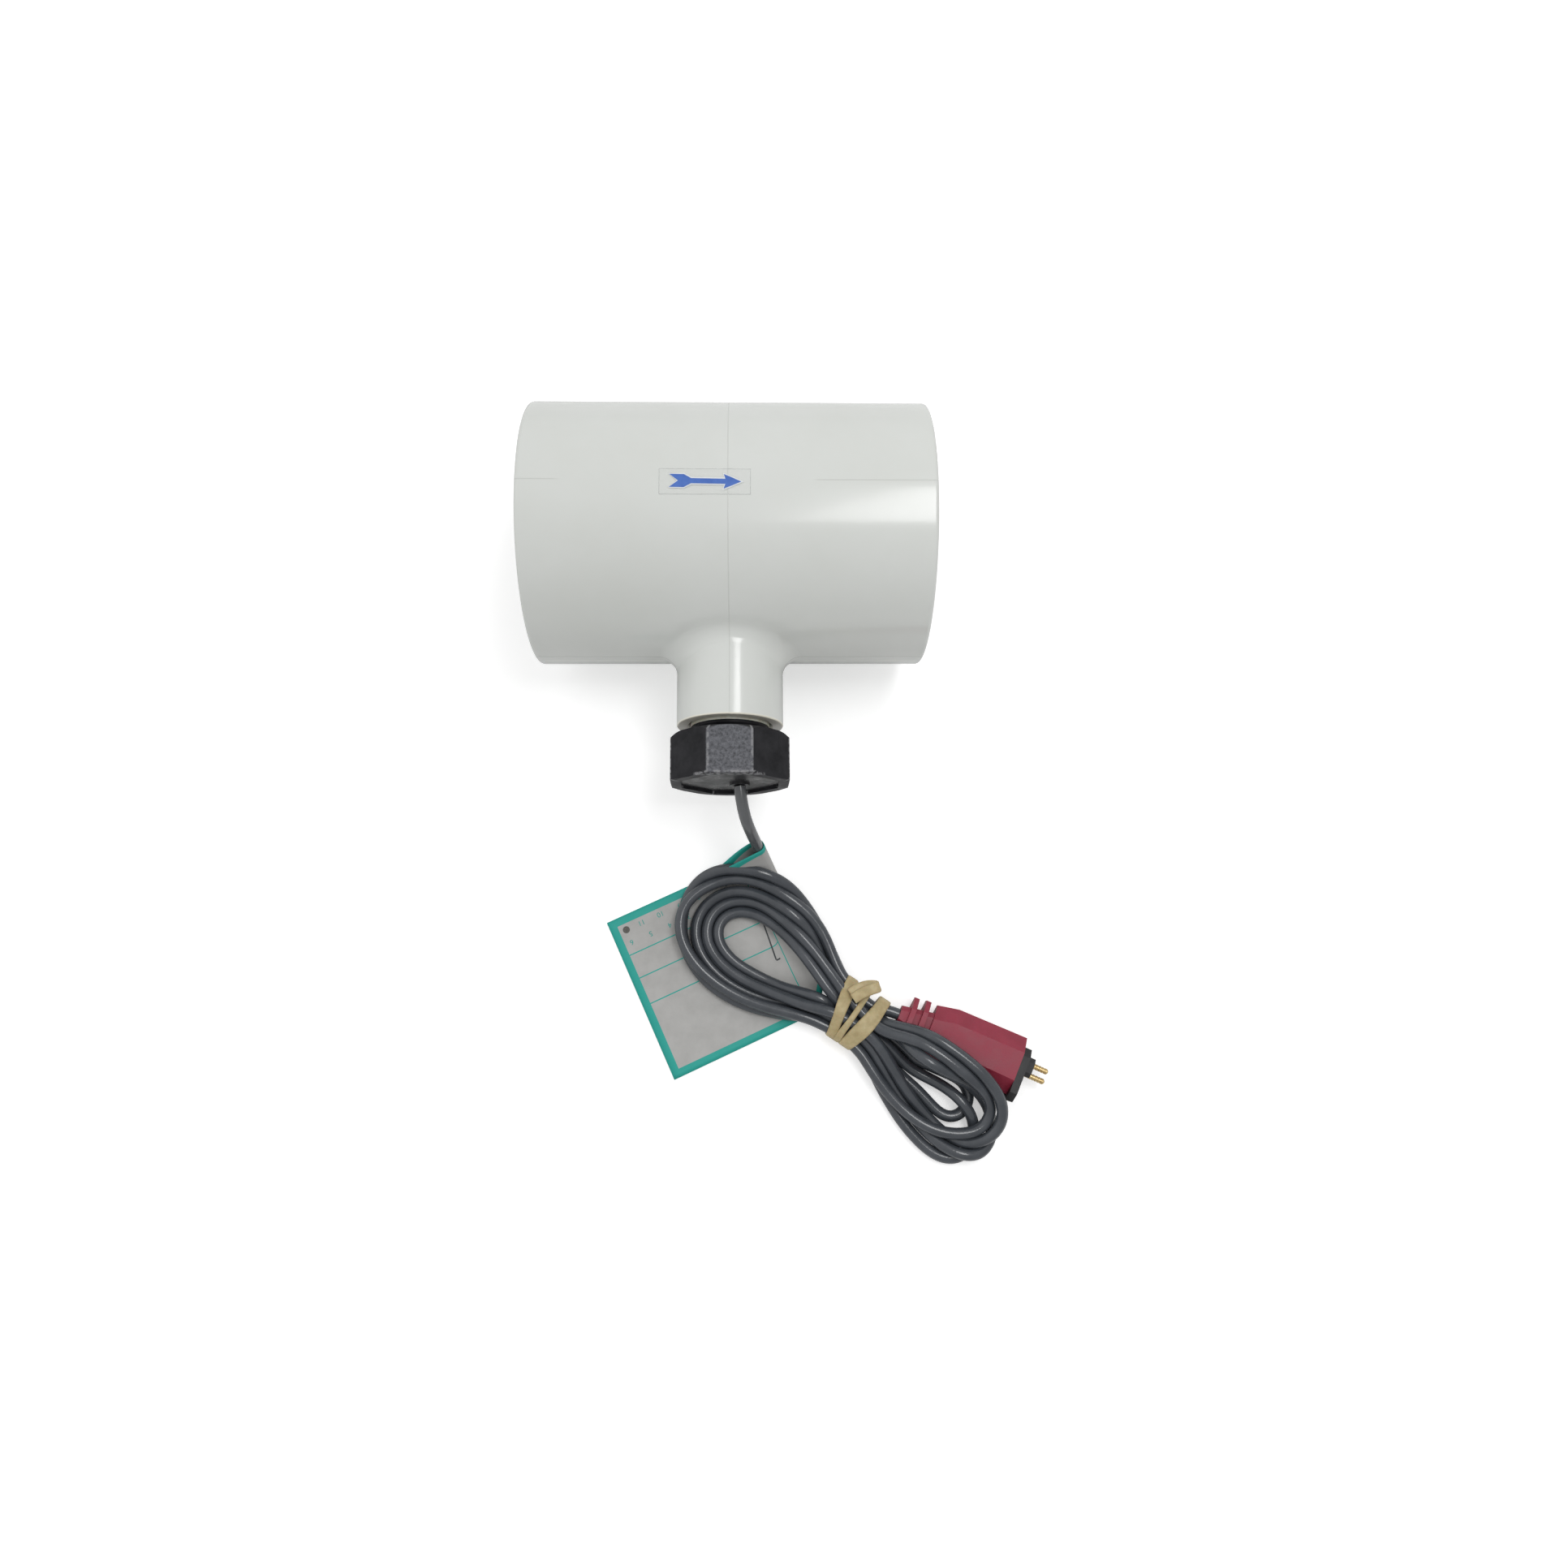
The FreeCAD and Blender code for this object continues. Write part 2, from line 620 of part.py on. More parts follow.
def pivot_frame():
    return tee_frame().multiply(Placement(Vector(0, -size("pivot_reach"), 0), Rotation()))


def make_pin_and_magnet():
    """Stainless pin pressed into the fork, and the ferrite magnet in the paddle's tail."""
    pivot = pivot_frame().Base
    half = size("pin_length") / 2
    pin = rod("pivot_pin", "Sheet.pin_dia", "Sheet.pin_length", pivot - Vector(0, 0, half), Vector(0, 0, 1))
    tail = pivot - Vector(0, size("tail_reach"), 0)
    magnet = rod("magnet", "Sheet.magnet_dia", "Sheet.magnet_length", tail, Vector(0, 1, 0))
    parts.extend([pin, magnet])


def make_spring():
    """Torsion spring round the pin: one leg on the paddle's spine, the turns, and a leg on the fork's ledge.

    Each half turn lies in a plane that leans by half the pitch, so the wire runs on smoothly into the next.
    """
    rise = size("spring_pitch") / 2
    place = Vector(size("spring_radius"), 0, size("spring_low"))
    path = [Part.LineSegment(place + Vector(0, size("spring_blade_leg"), 0), place).toShape()]
    half_turns = int(2 * size("spring_turns"))
    for number in range(half_turns):
        opposite = Vector(-place.x, 0, place.z + rise)
        centre = (place + opposite) / 2
        ray = place - centre
        side = Vector(0, ray.Length if number % 2 else -ray.Length, 0)
        swept = math.pi
        if number == half_turns - 1:
            swept -= math.radians(size("spring_lean"))
        middle = centre + ray * math.cos(swept / 2) + side * math.sin(swept / 2)
        end = centre + ray * math.cos(swept) + side * math.sin(swept)
        path.append(Part.Arc(place, middle, end).toShape())
        place = end
    away = path[-1].tangentAt(path[-1].LastParameter)
    path.append(Part.LineSegment(place, place + away * size("spring_ledge_leg")).toShape())
    item = solid_part("return_spring", bent_rod(path, size("spring_wire") / 2))
    item.Placement = pivot_frame()


# ---------------------------------------------------------------- cord


def rounded_path(points):
    """Straight runs joined by tangent arcs, each as large as its two runs allow."""
    edges, radii, last = [], [], points[0]
    for before, corner, after in zip(points, points[1:], points[2:]):
        back, ahead = before - corner, after - corner
        shorter = min(back.Length, ahead.Length)
        turned = math.pi - back.getAngle(ahead)
        radius = 0.45 * shorter / math.tan(turned / 2)
        reach = 0.45 * shorter
        start = corner + back.normalize() * reach
        end = corner + ahead.normalize() * reach
        middle = corner + (back + ahead).normalize() * (radius / math.cos(turned / 2) - radius)
        edges.append(Part.LineSegment(last, start).toShape())
        edges.append(Part.Arc(start, middle, end).toShape())
        radii.append(radius)
        last = end
    edges.append(Part.LineSegment(last, points[-1]).toShape())
    return Part.Wire(edges), radii


def bent_rod(edges, radius):
    """A round bar along tangent lines and arcs: a cylinder for each line, part of a torus for each arc."""
    pieces = []
    for edge in edges:
        start, heading = edge.valueAt(edge.FirstParameter), edge.tangentAt(edge.FirstParameter)
        if isinstance(edge.Curve, Part.Circle):
            disc = Part.Face(Part.Wire([Part.makeCircle(radius, start, heading)]))
            swept = math.degrees(edge.Length / edge.Curve.Radius)
            pieces.append(disc.revolve(edge.Curve.Center, edge.Curve.Axis, swept))
        else:
            pieces.append(Part.makeCylinder(radius, edge.Length, start, heading))
    return pieces[0].fuse(pieces[1:])


def rounded_tube(points, radius):
    """A round bar along the rounded path, and the radii of its arcs."""
    path, radii = rounded_path(points)
    tube = bent_rod(path.OrderedEdges, radius)
    expected = math.pi * radius**2 * path.Length
    if abs(tube.Volume - expected) > 0.01 * expected:
        raise RuntimeError(f"tube volume {tube.Volume:.1f}, section times length {expected:.1f}")
    return tube, radii


def on_table(x, y, z=0.0):
    """A point given from the middle of the run, in the part's frame."""
    return Vector(x, y + size("run_y"), z)


def report_radii(label, radii):
    shown = ", ".join(f"{radius:.1f}" for radius in radii)
    print(f"{label}: arc radii {shown} mm")


def make_lead():
    """The cord from inside the potting, down to the table and under the hank."""
    route = [on_table(*point) for point in LEAD_ROUTE]
    inside = route[0] + Vector(0, LEAD_INSIDE, 0)
    outside, radii = rounded_tube(route, size("cord_dia") / 2)
    held = Part.makeCylinder(size("cord_dia") / 2, LEAD_INSIDE, inside, Vector(0, -1, 0))
    report_radii("cord_lead", radii)
    solid_part("cord_lead", outside.fuse(held).removeSplitter())


def belt(first, second, low, high):
    """A plate whose outline is two round ends and the straight lines that touch both."""
    (x0, y0, r0), (x1, y1, r1) = first, second
    start, end = on_table(x0, y0, low), on_table(x1, y1, low)
    along = end - start
    gap = along.Length
    heading = math.atan2(along.y, along.x)
    lean = math.acos((r0 - r1) / gap)
    corners = []
    for side in (1, -1):
        ray = Vector(math.cos(heading + side * lean), math.sin(heading + side * lean), 0)
        corners.append((start + ray * r0, end + ray * r1))
    forward = Vector(along).normalize()
    (left0, left1), (right0, right1) = corners
    edges = [
        Part.LineSegment(left0, left1).toShape(),
        Part.Arc(left1, end + forward * r1, right1).toShape(),
        Part.LineSegment(right1, right0).toShape(),
        Part.Arc(right0, start - forward * r0, left0).toShape(),
    ]
    return Part.Face(Part.Wire(edges)).extrude(Vector(0, 0, high - low))


def eased_plate(plate, bevel):
    """The plate with its upper and lower rims bevelled."""
    rims = [e for e in plate.Edges if abs(e.tangentAt(e.FirstParameter).z) < 0.5]
    return plate.makeChamfer(bevel, rims)


def lobe_start(far_end, reach):
    """The round near end of a lobe, that far from the waist towards the lobe's far end."""
    x, y = far_end[0] - WAIST[0], far_end[1] - WAIST[1]
    share = reach / math.hypot(x, y)
    return (WAIST[0] + x * share, WAIST[1] + y * share, LOBE_START_RADIUS)


def waist_height():
    return size("band_thick") + size("waist_tall") / 2


def waist_bar(extra, half_length, offset=0.0):
    """An eight-sided bar along the waist, larger than the tied strands by `extra` all round."""
    wide, tall = size("waist_half") + extra, size("waist_tall") / 2 + extra
    quarter = [(wide, tall - WAIST_CORNER), (wide - WAIST_CORNER, tall)]
    upper = quarter + [(-x, y) for x, y in reversed(quarter)]
    corners = [Vector(x, y, 0) for x, y in upper + [(-x, -y) for x, y in upper]]
    bar = Part.Face(Part.makePolygon(corners + corners[:1])).extrude(Vector(0, 0, 2 * half_length))
    bar.translate(Vector(0, 0, offset - half_length))
    bar.rotate(Vector(), Vector(1, 0, 0), 90)
    bar.rotate(Vector(), Vector(0, 0, 1), WAIST_HEADING + 90)
    bar.translate(on_table(WAIST[0], WAIST[1], waist_height()))
    return bar


def make_hank():
    """The tied hank's outer shape: an open upper loop, the waist, and a lower loop leaning on the plug."""
    low = size("label_thick")
    start = lobe_start(UPPER_END, LOBE_START)
    upper = eased_plate(belt(start, UPPER_END, low, low + size("hank_thick")), LOBE_BEVEL)
    hole = belt(UPPER_HOLE_TIP, UPPER_HOLE_END, low - 1, low + size("hank_thick") + 1)
    start = lobe_start(LOWER_END, LOBE_START)
    lower = eased_plate(belt(start, LOWER_END, -LOWER_THICK / 2, LOWER_THICK / 2), LOBE_BEVEL)
    middle = on_table(*WAIST)
    heading = on_table(LOWER_END[0], LOWER_END[1]) - middle
    lower.rotate(middle, heading, LOWER_TILT)
    lower.translate(Vector(0, 0, waist_height()))
    floor = Part.makeBox(300, 300, 60, Vector(-150, -250, low))
    shape = upper.cut(hole).fuse([waist_bar(0, LOBE_START), lower]).common(floor)
    shape = shape.cut(plug_envelope())
    solid_part("cord_hank", shape.removeSplitter())


def make_band():
    """Rubber band wound three times round the waist."""
    turns = []
    for k in (-1, 0, 1):
        half = size("band_wide") / 2
        offset = k * size("band_step")
        turns.append(waist_bar(size("band_thick"), half, offset).cut(waist_bar(0, half + 1, offset)))
    link = waist_bar(size("band_thick"), size("band_step")).cut(waist_bar(0, size("band_step") + 1))
    crown = Part.makeBox(300, 300, 30, Vector(-150, -250, waist_height() + size("waist_tall") / 2 - 0.6))
    solid_part("rubber_band", turns[0].fuse(turns[1:] + [link.common(crown)]).removeSplitter())


def make_label():
    """Paper flag label: flat under the hank, with the corner that the cord lifts wrapped round it."""
    thick = size("label_thick")
    path, _ = rounded_path([on_table(*point) for point in LEAD_ROUTE])
    first = LABEL_START * path.Length
    grips = [point_along(path, first + (path.Length - first) * k / 4) for k in range(5)]
    radius = size("cord_dia") / 2
    free_top, free_low = (on_table(*corner) for corner in LABEL_CORNERS)
    across = (on_table(grips[0].x, grips[0].y - size("run_y")) - free_top).normalize()
    down = (free_low - free_top).normalize()
    beside = across * -(radius + 0.1)
    held = [Vector(g.x, g.y, g.z - radius) + beside for g in grips[:-1]]
    held.append(Vector(grips[-1].x, grips[-1].y, 0) + beside)
    edge = Part.BSplineCurve()
    edge.interpolate(held)
    top_corner = Vector(held[0].x, held[0].y, 0)
    bend_top = top_corner - across * LABEL_LIFT
    bend_low = held[-1] - across * 1.0
    bend = Part.LineSegment(bend_top, bend_low).toShape()
    flap = Part.makeRuledSurface(edge.toShape(), bend).extrude(Vector(0, 0, thick))
    corner_low = top_corner + down * size("label_side")
    outline_points = [free_top, free_low, corner_low, held[-1], bend_low, bend_top, free_top]
    flat = Part.Face(Part.makePolygon(outline_points)).extrude(Vector(0, 0, thick))
    solid_part("cord_label", flat.fuse(flap).removeSplitter())


def point_along(path, distance):
    """The point that far along a wire."""
    for edge in path.OrderedEdges:
        if distance <= edge.Length + 1e-9:
            return edge.valueAt(edge.getParameterByLength(min(distance, edge.Length)))
        distance -= edge.Length
    return path.OrderedVertexes[-1].Point


# ---------------------------------------------------------------- plug


def plug_frame():
    rear = on_table(PLUG_REAR[0], PLUG_REAR[1], size("plug_tall") / 2)
    return Placement(rear, Rotation(Vector(0, 0, 1), PLUG_HEADING))


LOOP_ROOM_ENDS = 0.4  # clear room that the loop leaves before and behind the plug
LOOP_ROOM_SIDES = 0.3  # and beside it
BEVEL_RISE = 0.85  # how tall a plug bevel is for its width
RIB_BEVEL = 0.8  # a relief rib's bevel against the body's
SHOULDER_IN, TAIL_IN, ROOT_OUT = 0.6, 0.8, 2.4  # how the body and its relief taper


def plug_envelope():
    """The room that the plug takes below the lower loop, with the flange's overhang."""
    rear = Part.makeBox(size("relief_length") + LOOP_ROOM_ENDS, size("plug_rear"), size("plug_tall"))
    rear.translate(Vector(-size("relief_length") - LOOP_ROOM_ENDS, -size("plug_rear") / 2, -size("plug_tall") / 2))
    reach = size("plug_length") + size("boss_reach") + LOOP_ROOM_ENDS
    near_side = size("plug_wide") / 2 + LOOP_ROOM_SIDES
    far_side = size("flange_wide") / 2 - size("flange_side") + LOOP_ROOM_SIDES
    front = Part.makeBox(reach, near_side + far_side, size("plug_tall"))
    front.translate(Vector(0, -far_side, -size("plug_tall") / 2))
    envelope = rear.fuse(front)
    envelope.Placement = plug_frame()
    return envelope


def section(x, wide, tall, bevel, side=0.0):
    """A flat-topped outline with bevelled sides, across the plug's axis and moved to one side of it."""
    half, top = wide / 2, tall / 2
    inner, edge = half - bevel, top - bevel * BEVEL_RISE
    corners = [(inner, top), (half, edge), (half, -edge), (inner, -top)]
    points = corners + [(-y, z) for y, z in reversed(corners)]
    points.append(points[0])
    return Part.makePolygon([Vector(x, side + y, z) for y, z in points])


def block(x, length, wide, tall, bevel, side=0.0):
    """That outline carried along the plug's axis."""
    return Part.Face(section(x, wide, tall, bevel, side)).extrude(Vector(length, 0, 0))


def seat_on_plug(item):
    item.Placement = plug_frame().multiply(item.Placement)


def make_plug_body():
    """Crimson overmould: a bevelled body, a tapered shoulder and a ribbed strain relief in one piece."""
    wide, rear, tall = size("plug_wide"), size("plug_rear"), size("plug_tall")
    bevel, relief = size("plug_bevel"), size("relief_length")
    back = section(0, rear, tall - size("plug_rear_drop"), bevel)
    shoulder = section(size("plug_shoulder"), wide - SHOULDER_IN, tall, bevel)
    front = section(size("plug_length"), wide, tall, bevel)
    core, core_bevel = size("relief_core"), size("relief_bevel")
    tail = section(-relief, core - TAIL_IN, core - TAIL_IN, core_bevel)
    root = section(0, core + ROOT_OUT, core, core_bevel)
    lofts = [Part.makeLoft(pair, True, True) for pair in ([back, shoulder], [shoulder, front], [tail, root])]
    ribs = []
    for k in range(int(size("relief_ribs"))):
        place = -(k + 1) * size("relief_pitch")
        less = size("relief_taper") * k
        rib_tall = tall - size("plug_rear_drop") - less
        ribs.append(block(place, size("relief_rib"), rear - less, rib_tall, bevel * RIB_BEVEL))
    hole = Part.makeCylinder(size("cord_dia") / 2, size("cord_grip"), Vector(-relief, 0, 0), Vector(1, 0, 0))
    shape = lofts[0].fuse(lofts[1:] + ribs).cut(hole).cut(tenon())
    seat_on_plug(solid_part("plug_body", shape.removeSplitter()))


def tenon():
    """The insert's root, held in the overmould."""
    start = size("plug_length") - size("tenon_length")
    return block(start, size("tenon_length"), size("tenon_wide"), size("tenon_tall"), size("tenon_bevel"))


def make_plug_insert():
    """Black contact carrier: a flange that overhangs the overmould on one side, and a boss round the pins."""
    start = size("plug_length")
    flange = block(
        start,
        size("flange_reach"),
        size("flange_wide"),
        size("flange_tall"),
        size("flange_bevel"),
        size("flange_side"),
    )
    boss = block(
        start, size("boss_reach"), size("boss_wide"), size("boss_tall"), size("boss_bevel"), size("boss_side")
    )
    shape = tenon().fuse([flange, boss])
    hole_start = start - size("tenon_length")
    hole_length = size("tenon_length") + size("boss_reach")
    for y in contact_places():
        foot = Vector(hole_start, y, 0)
        hole = Part.makeCylinder(size("contact_dia") / 2, hole_length, foot, Vector(1, 0, 0))
        shape = shape.cut(hole)
    seat_on_plug(solid_part("plug_insert", shape.removeSplitter()))


def contact_places():
    """How far to the side of the plug's axis each pin is."""
    return [size("contact_side") + k * size("contact_pitch") / 2 for k in (1, -1)]


def make_contacts():
    """Two turned, gold-plated contact pins with rounded tips and grip rings."""
    radius, start = size("contact_dia") / 2, size("plug_length") - size("tenon_length")
    shown = size("plug_length") + size("boss_reach")
    tip = shown + size("contact_length")
    waist = radius - size("groove_deep")
    profile = [Vector(start, 0, 0), Vector(start, radius, 0)]
    for k in range(1, 5):
        place = shown + k * size("groove_pitch")
        end = place + size("groove_wide")
        groove = ((place, radius), (place, waist), (end, waist), (end, radius))
        profile += [Vector(along, out, 0) for along, out in groove]
    profile.append(Vector(tip - radius / 2, radius, 0))
    profile.append(Vector(tip, radius / 2, 0))
    profile.append(Vector(tip, 0, 0))
    half = Part.Face(Part.makePolygon(profile + profile[:1]))
    for label, y in zip(("contact_pin_upper", "contact_pin_lower"), contact_places()):
        pin = half.revolve(Vector(), Vector(1, 0, 0), 360)
        pin.translate(Vector(0, y, 0))
        seat_on_plug(solid_part(label, pin))


def make_tail():
    """The cord's last stretch, from the waist of the hank into the strain relief."""
    frame = plug_frame()
    entry = frame.multVec(Vector(-size("relief_length") + size("cord_grip"), 0, 0))
    outside = frame.multVec(Vector(-size("relief_length") - 2.0, 0, 0))
    start = on_table(*TAIL_ROUTE_START)
    tube, radii = rounded_tube([start, outside, entry], size("cord_dia") / 2)
    report_radii("cord_tail", radii)
    solid_part("cord_tail", tube)


# ---------------------------------------------------------------- build and write


def check(item):
    """Stops if an object failed or a sub-part has no sound shape."""
    bad = [state for state in item.State if state in ("Invalid", "Error")]
    if bad:
        raise RuntimeError(f"{item.Label}: {bad}")


def main():
    make_tee()
    make_arrow_label()
    make_thread_tape()
    make_switch_body()
    make_potting()
    make_reed()
    make_wiring()
    make_paddle()
    make_pin_and_magnet()
    make_spring()
    make_lead()
    make_hank()
    make_band()
    make_label()
    make_plug_body()
    make_plug_insert()
    make_contacts()
    make_tail()
    doc.recompute()
    for item in doc.Objects:
        check(item)
    os.makedirs("parts", exist_ok=True)
    for item in parts:
        shape = item.Shape
        if shape.isNull() or not shape.isValid() or len(shape.Solids) != 1:
            raise RuntimeError(f"{item.Label}: null, invalid or not one solid")
        print(f"{item.Label:20s} {shape.Volume:10.1f} mm3")
    for item in parts:
        item.Shape.exportStep(f"parts/{item.Label}.step")


main()
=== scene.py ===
"""How the paddle flow switch in its reducing tee looks, with its lead tied in a hank and a two-pin plug."""

import json
import math

import bmesh
import bpy
import numpy as np
from mathutils import Matrix, Vector


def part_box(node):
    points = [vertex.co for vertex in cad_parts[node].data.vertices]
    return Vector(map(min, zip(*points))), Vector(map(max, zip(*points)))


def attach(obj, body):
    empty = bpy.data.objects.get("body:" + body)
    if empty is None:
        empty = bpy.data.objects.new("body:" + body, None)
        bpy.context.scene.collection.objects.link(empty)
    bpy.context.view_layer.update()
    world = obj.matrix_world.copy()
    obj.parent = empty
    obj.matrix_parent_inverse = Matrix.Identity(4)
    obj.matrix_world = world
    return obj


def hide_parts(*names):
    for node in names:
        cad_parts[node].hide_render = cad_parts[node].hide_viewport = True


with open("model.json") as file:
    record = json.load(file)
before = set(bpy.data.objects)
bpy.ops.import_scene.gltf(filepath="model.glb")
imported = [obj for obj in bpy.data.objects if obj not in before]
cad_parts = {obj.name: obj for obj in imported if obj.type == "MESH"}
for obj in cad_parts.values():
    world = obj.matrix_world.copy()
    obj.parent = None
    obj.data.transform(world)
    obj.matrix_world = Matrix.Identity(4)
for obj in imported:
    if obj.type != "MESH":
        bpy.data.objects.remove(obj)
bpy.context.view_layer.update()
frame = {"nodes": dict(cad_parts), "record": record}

nodes = frame["nodes"]
mounts = {mount["name"]: mount for mount in frame["record"]["mounts"]}
run_middle = Vector((0, mounts["outlet_socket"]["pos_m"][1], mounts["outlet_socket"]["pos_m"][2]))

# ---------------------------------------------------------------- camera
# Held over the near end of the cord, looking down on the tee.
# It leans towards the tee by eleven degrees.


def in_scene(name, data):
    """An object for that mesh, curve or camera, at the origin."""
    thing = bpy.data.objects.new(name, data)
    bpy.context.scene.collection.objects.link(thing)
    return thing


camera = in_scene("camera", bpy.data.cameras.new("camera"))
camera.data.lens = 26.29
camera.data.sensor_width = 36
camera.location = (0.0059, -0.1121, 0.3308)
camera.rotation_euler = [math.radians(angle) for angle in (11.445, -1.508, -0.500)]
bpy.context.scene.camera = camera

# ---------------------------------------------------------------- table and light
# A white table under a bright ceiling, darker to the right and towards the viewer, and a window seen aslant
# above the outlet end of the tee. The table keeps the part's shadow.

bpy.context.scene.view_settings.view_transform = "Standard"
TABLE_HALF, TABLE_LEVEL = 1.5, -0.0001
TABLE_LIFT = 0.42      # how much of its own light the table shows, so that it stays white round the shadow
WINDOW_HEIGHT, WINDOW_LIGHT = 0.690, 9.5
WINDOW_CORNERS = [(0.130, 0.230), (0.265, 0.230), (0.265, -0.115), (0.030, -0.115)]
WINDOW_DIM = 0.45      # share of the window's light at its inlet end
WORLD_LIGHT, WORLD_DIM = 0.96, 0.62


def link(tree, source, output, target, socket):
    tree.links.new(source.outputs[output], target.inputs[socket])


def shader_node(tree, kind, settings=None, values=None):
    """A node with its properties and its unlinked sockets set."""
    node = tree.nodes.new("ShaderNode" + kind)
    for name, value in (settings or {}).items():
        setattr(node, name, value)
    for name, value in (values or {}).items():
        node.inputs[name].default_value = value
    return node


def calculate(tree, operation, *terms):
    """A Math node: each term is a number or a socket."""
    node = shader_node(tree, "Math", {"operation": operation})
    for index, term in enumerate(terms):
        if isinstance(term, (int, float)):
            node.inputs[index].default_value = term
        else:
            tree.links.new(term, node.inputs[index])
    return node.outputs[0]


def make_world():
    world = bpy.data.worlds.new("ceiling")
    bpy.context.scene.world = world
    world.use_nodes = True
    tree = world.node_tree
    tree.nodes.clear()
    place = shader_node(tree, "TexCoord")
    split = shader_node(tree, "SeparateXYZ")
    rightward = {"From Min": -0.9, "From Max": 0.9, "To Min": 1.0, "To Max": WORLD_DIM}
    away = {"From Min": -0.9, "From Max": 0.2, "To Min": WORLD_DIM, "To Max": 1.0}
    side = shader_node(tree, "MapRange", values=rightward)
    front = shader_node(tree, "MapRange", values=away)
    lit = shader_node(tree, "Background", values={"Strength": WORLD_LIGHT})
    plain = shader_node(tree, "Background", values={"Color": (1, 1, 1, 1), "Strength": 1.0})
    path = shader_node(tree, "LightPath")
    pick = shader_node(tree, "MixShader")
    out = shader_node(tree, "OutputWorld")
    link(tree, place, "Generated", split, "Vector")
    link(tree, split, "X", side, "Value")
    link(tree, split, "Y", front, "Value")
    both = calculate(tree, "MULTIPLY", side.outputs["Result"], front.outputs["Result"])
    tree.links.new(both, lit.inputs["Color"])
    link(tree, path, "Is Camera Ray", pick, 0)
    link(tree, lit, "Background", pick, 1)
    link(tree, plain, "Background", pick, 2)
    link(tree, pick, "Shader", out, "Surface")


def flat_pane(name, corners, level):
    """A one-sided flat pane with an empty material, and the material's node tree."""
    mesh = bpy.data.meshes.new(name)
    mesh.from_pydata([(x, y, level) for x, y in corners], [], [(0, 1, 2, 3)])
    material = bpy.data.materials.new(name)
    material.use_nodes = True
    material.node_tree.nodes.clear()
    mesh.materials.append(material)
    return in_scene(name, mesh), material.node_tree


def make_table():
    """Matt white; what the camera sees of it, and sees through glass, is lifted to white."""
    corners = [(-TABLE_HALF, -TABLE_HALF), (TABLE_HALF, -TABLE_HALF)]
    corners += [(TABLE_HALF, TABLE_HALF), (-TABLE_HALF, TABLE_HALF)]
    table, tree = flat_pane("table", corners, TABLE_LEVEL)
    matt = shader_node(tree, "BsdfDiffuse", values={"Color": (0.86, 0.86, 0.86, 1)})
    lift = shader_node(tree, "Emission", values={"Color": (1, 1, 1, 1), "Strength": TABLE_LIFT})
    seen = shader_node(tree, "AddShader")
    path = shader_node(tree, "LightPath")
    pick = shader_node(tree, "MixShader")
    out = shader_node(tree, "OutputMaterial")
    link(tree, matt, "BSDF", seen, 0)
    link(tree, lift, "Emission", seen, 1)
    direct = calculate(tree, "MAXIMUM", path.outputs["Is Camera Ray"], path.outputs["Is Transmission Ray"])
    tree.links.new(direct, pick.inputs[0])
    link(tree, matt, "BSDF", pick, 1)
    link(tree, seen, "Shader", pick, 2)
    link(tree, pick, "Shader", out, "Surface")


def make_window():
    """A bright pane that faces down, brighter towards the outlet end."""
    window, tree = flat_pane("window", WINDOW_CORNERS, WINDOW_HEIGHT)
    place = shader_node(tree, "TexCoord")
    split = shader_node(tree, "SeparateXYZ")
    values = {"From Min": 0.03, "From Max": 0.22, "To Min": WINDOW_LIGHT * WINDOW_DIM, "To Max": WINDOW_LIGHT}
    bright = shader_node(tree, "MapRange", values=values)
    lit = shader_node(tree, "Emission")
    out = shader_node(tree, "OutputMaterial")
    link(tree, place, "Object", split, "Vector")
    link(tree, split, "X", bright, "Value")
    link(tree, bright, "Result", lit, "Strength")
    link(tree, lit, "Emission", out, "Surface")


make_world()
make_table()
make_window()

# ---------------------------------------------------------------- cord
# Limp two-core cord with a dark grey PVC jacket. It leaves the potting in the head, drops to the table inside
# the fold of its label, goes five times round the hank and ends in the plug's strain relief.

CORD_DIA = 0.0032
# From the head to the hank, as points from the middle of the run and up from the table
LEAD_ROUTE = [
    (0.0025, -0.0698, 0.0325),
    (0.0033, -0.0766, 0.0320),
    (0.0056, -0.0814, 0.0250),
    (0.0073, -0.0832, 0.0150),
    (0.0096, -0.0868, 0.0056),
    (0.0134, -0.0946, 0.0021),
    (0.0172, -0.1029, 0.0021),
    (0.0216, -0.1116, 0.0021),
]
TAIL_ROUTE = [
    (0.0390, -0.1276, 0.0052),
    (0.0428, -0.1282, 0.0050),
    (0.0466, -0.1294, 0.0050),
    (0.0502, -0.1311, 0.0050),
]
WAIST = np.array((0.0340, -0.1297))
WAIST_HEADING, UPPER_HEADING, LOWER_HEADING = -34.0, 142.0, -43.2
# Where the passes go through the band: across the waist from its middle, and up from the table
RIGHT_PASSES = [(1.5, 2.5), (0.0, 5.1), (4.4, 2.5), (2.95, 5.1), (1.5, 7.7), (5.9, 5.1)]
LEFT_PASSES = [(-1.5, 2.5), (-4.4, 2.5), (-2.95, 5.1), (-1.5, 7.7), (-5.9, 5.1)]
BAND_REACH = 0.004      # a pass runs straight this far to each side of the waist
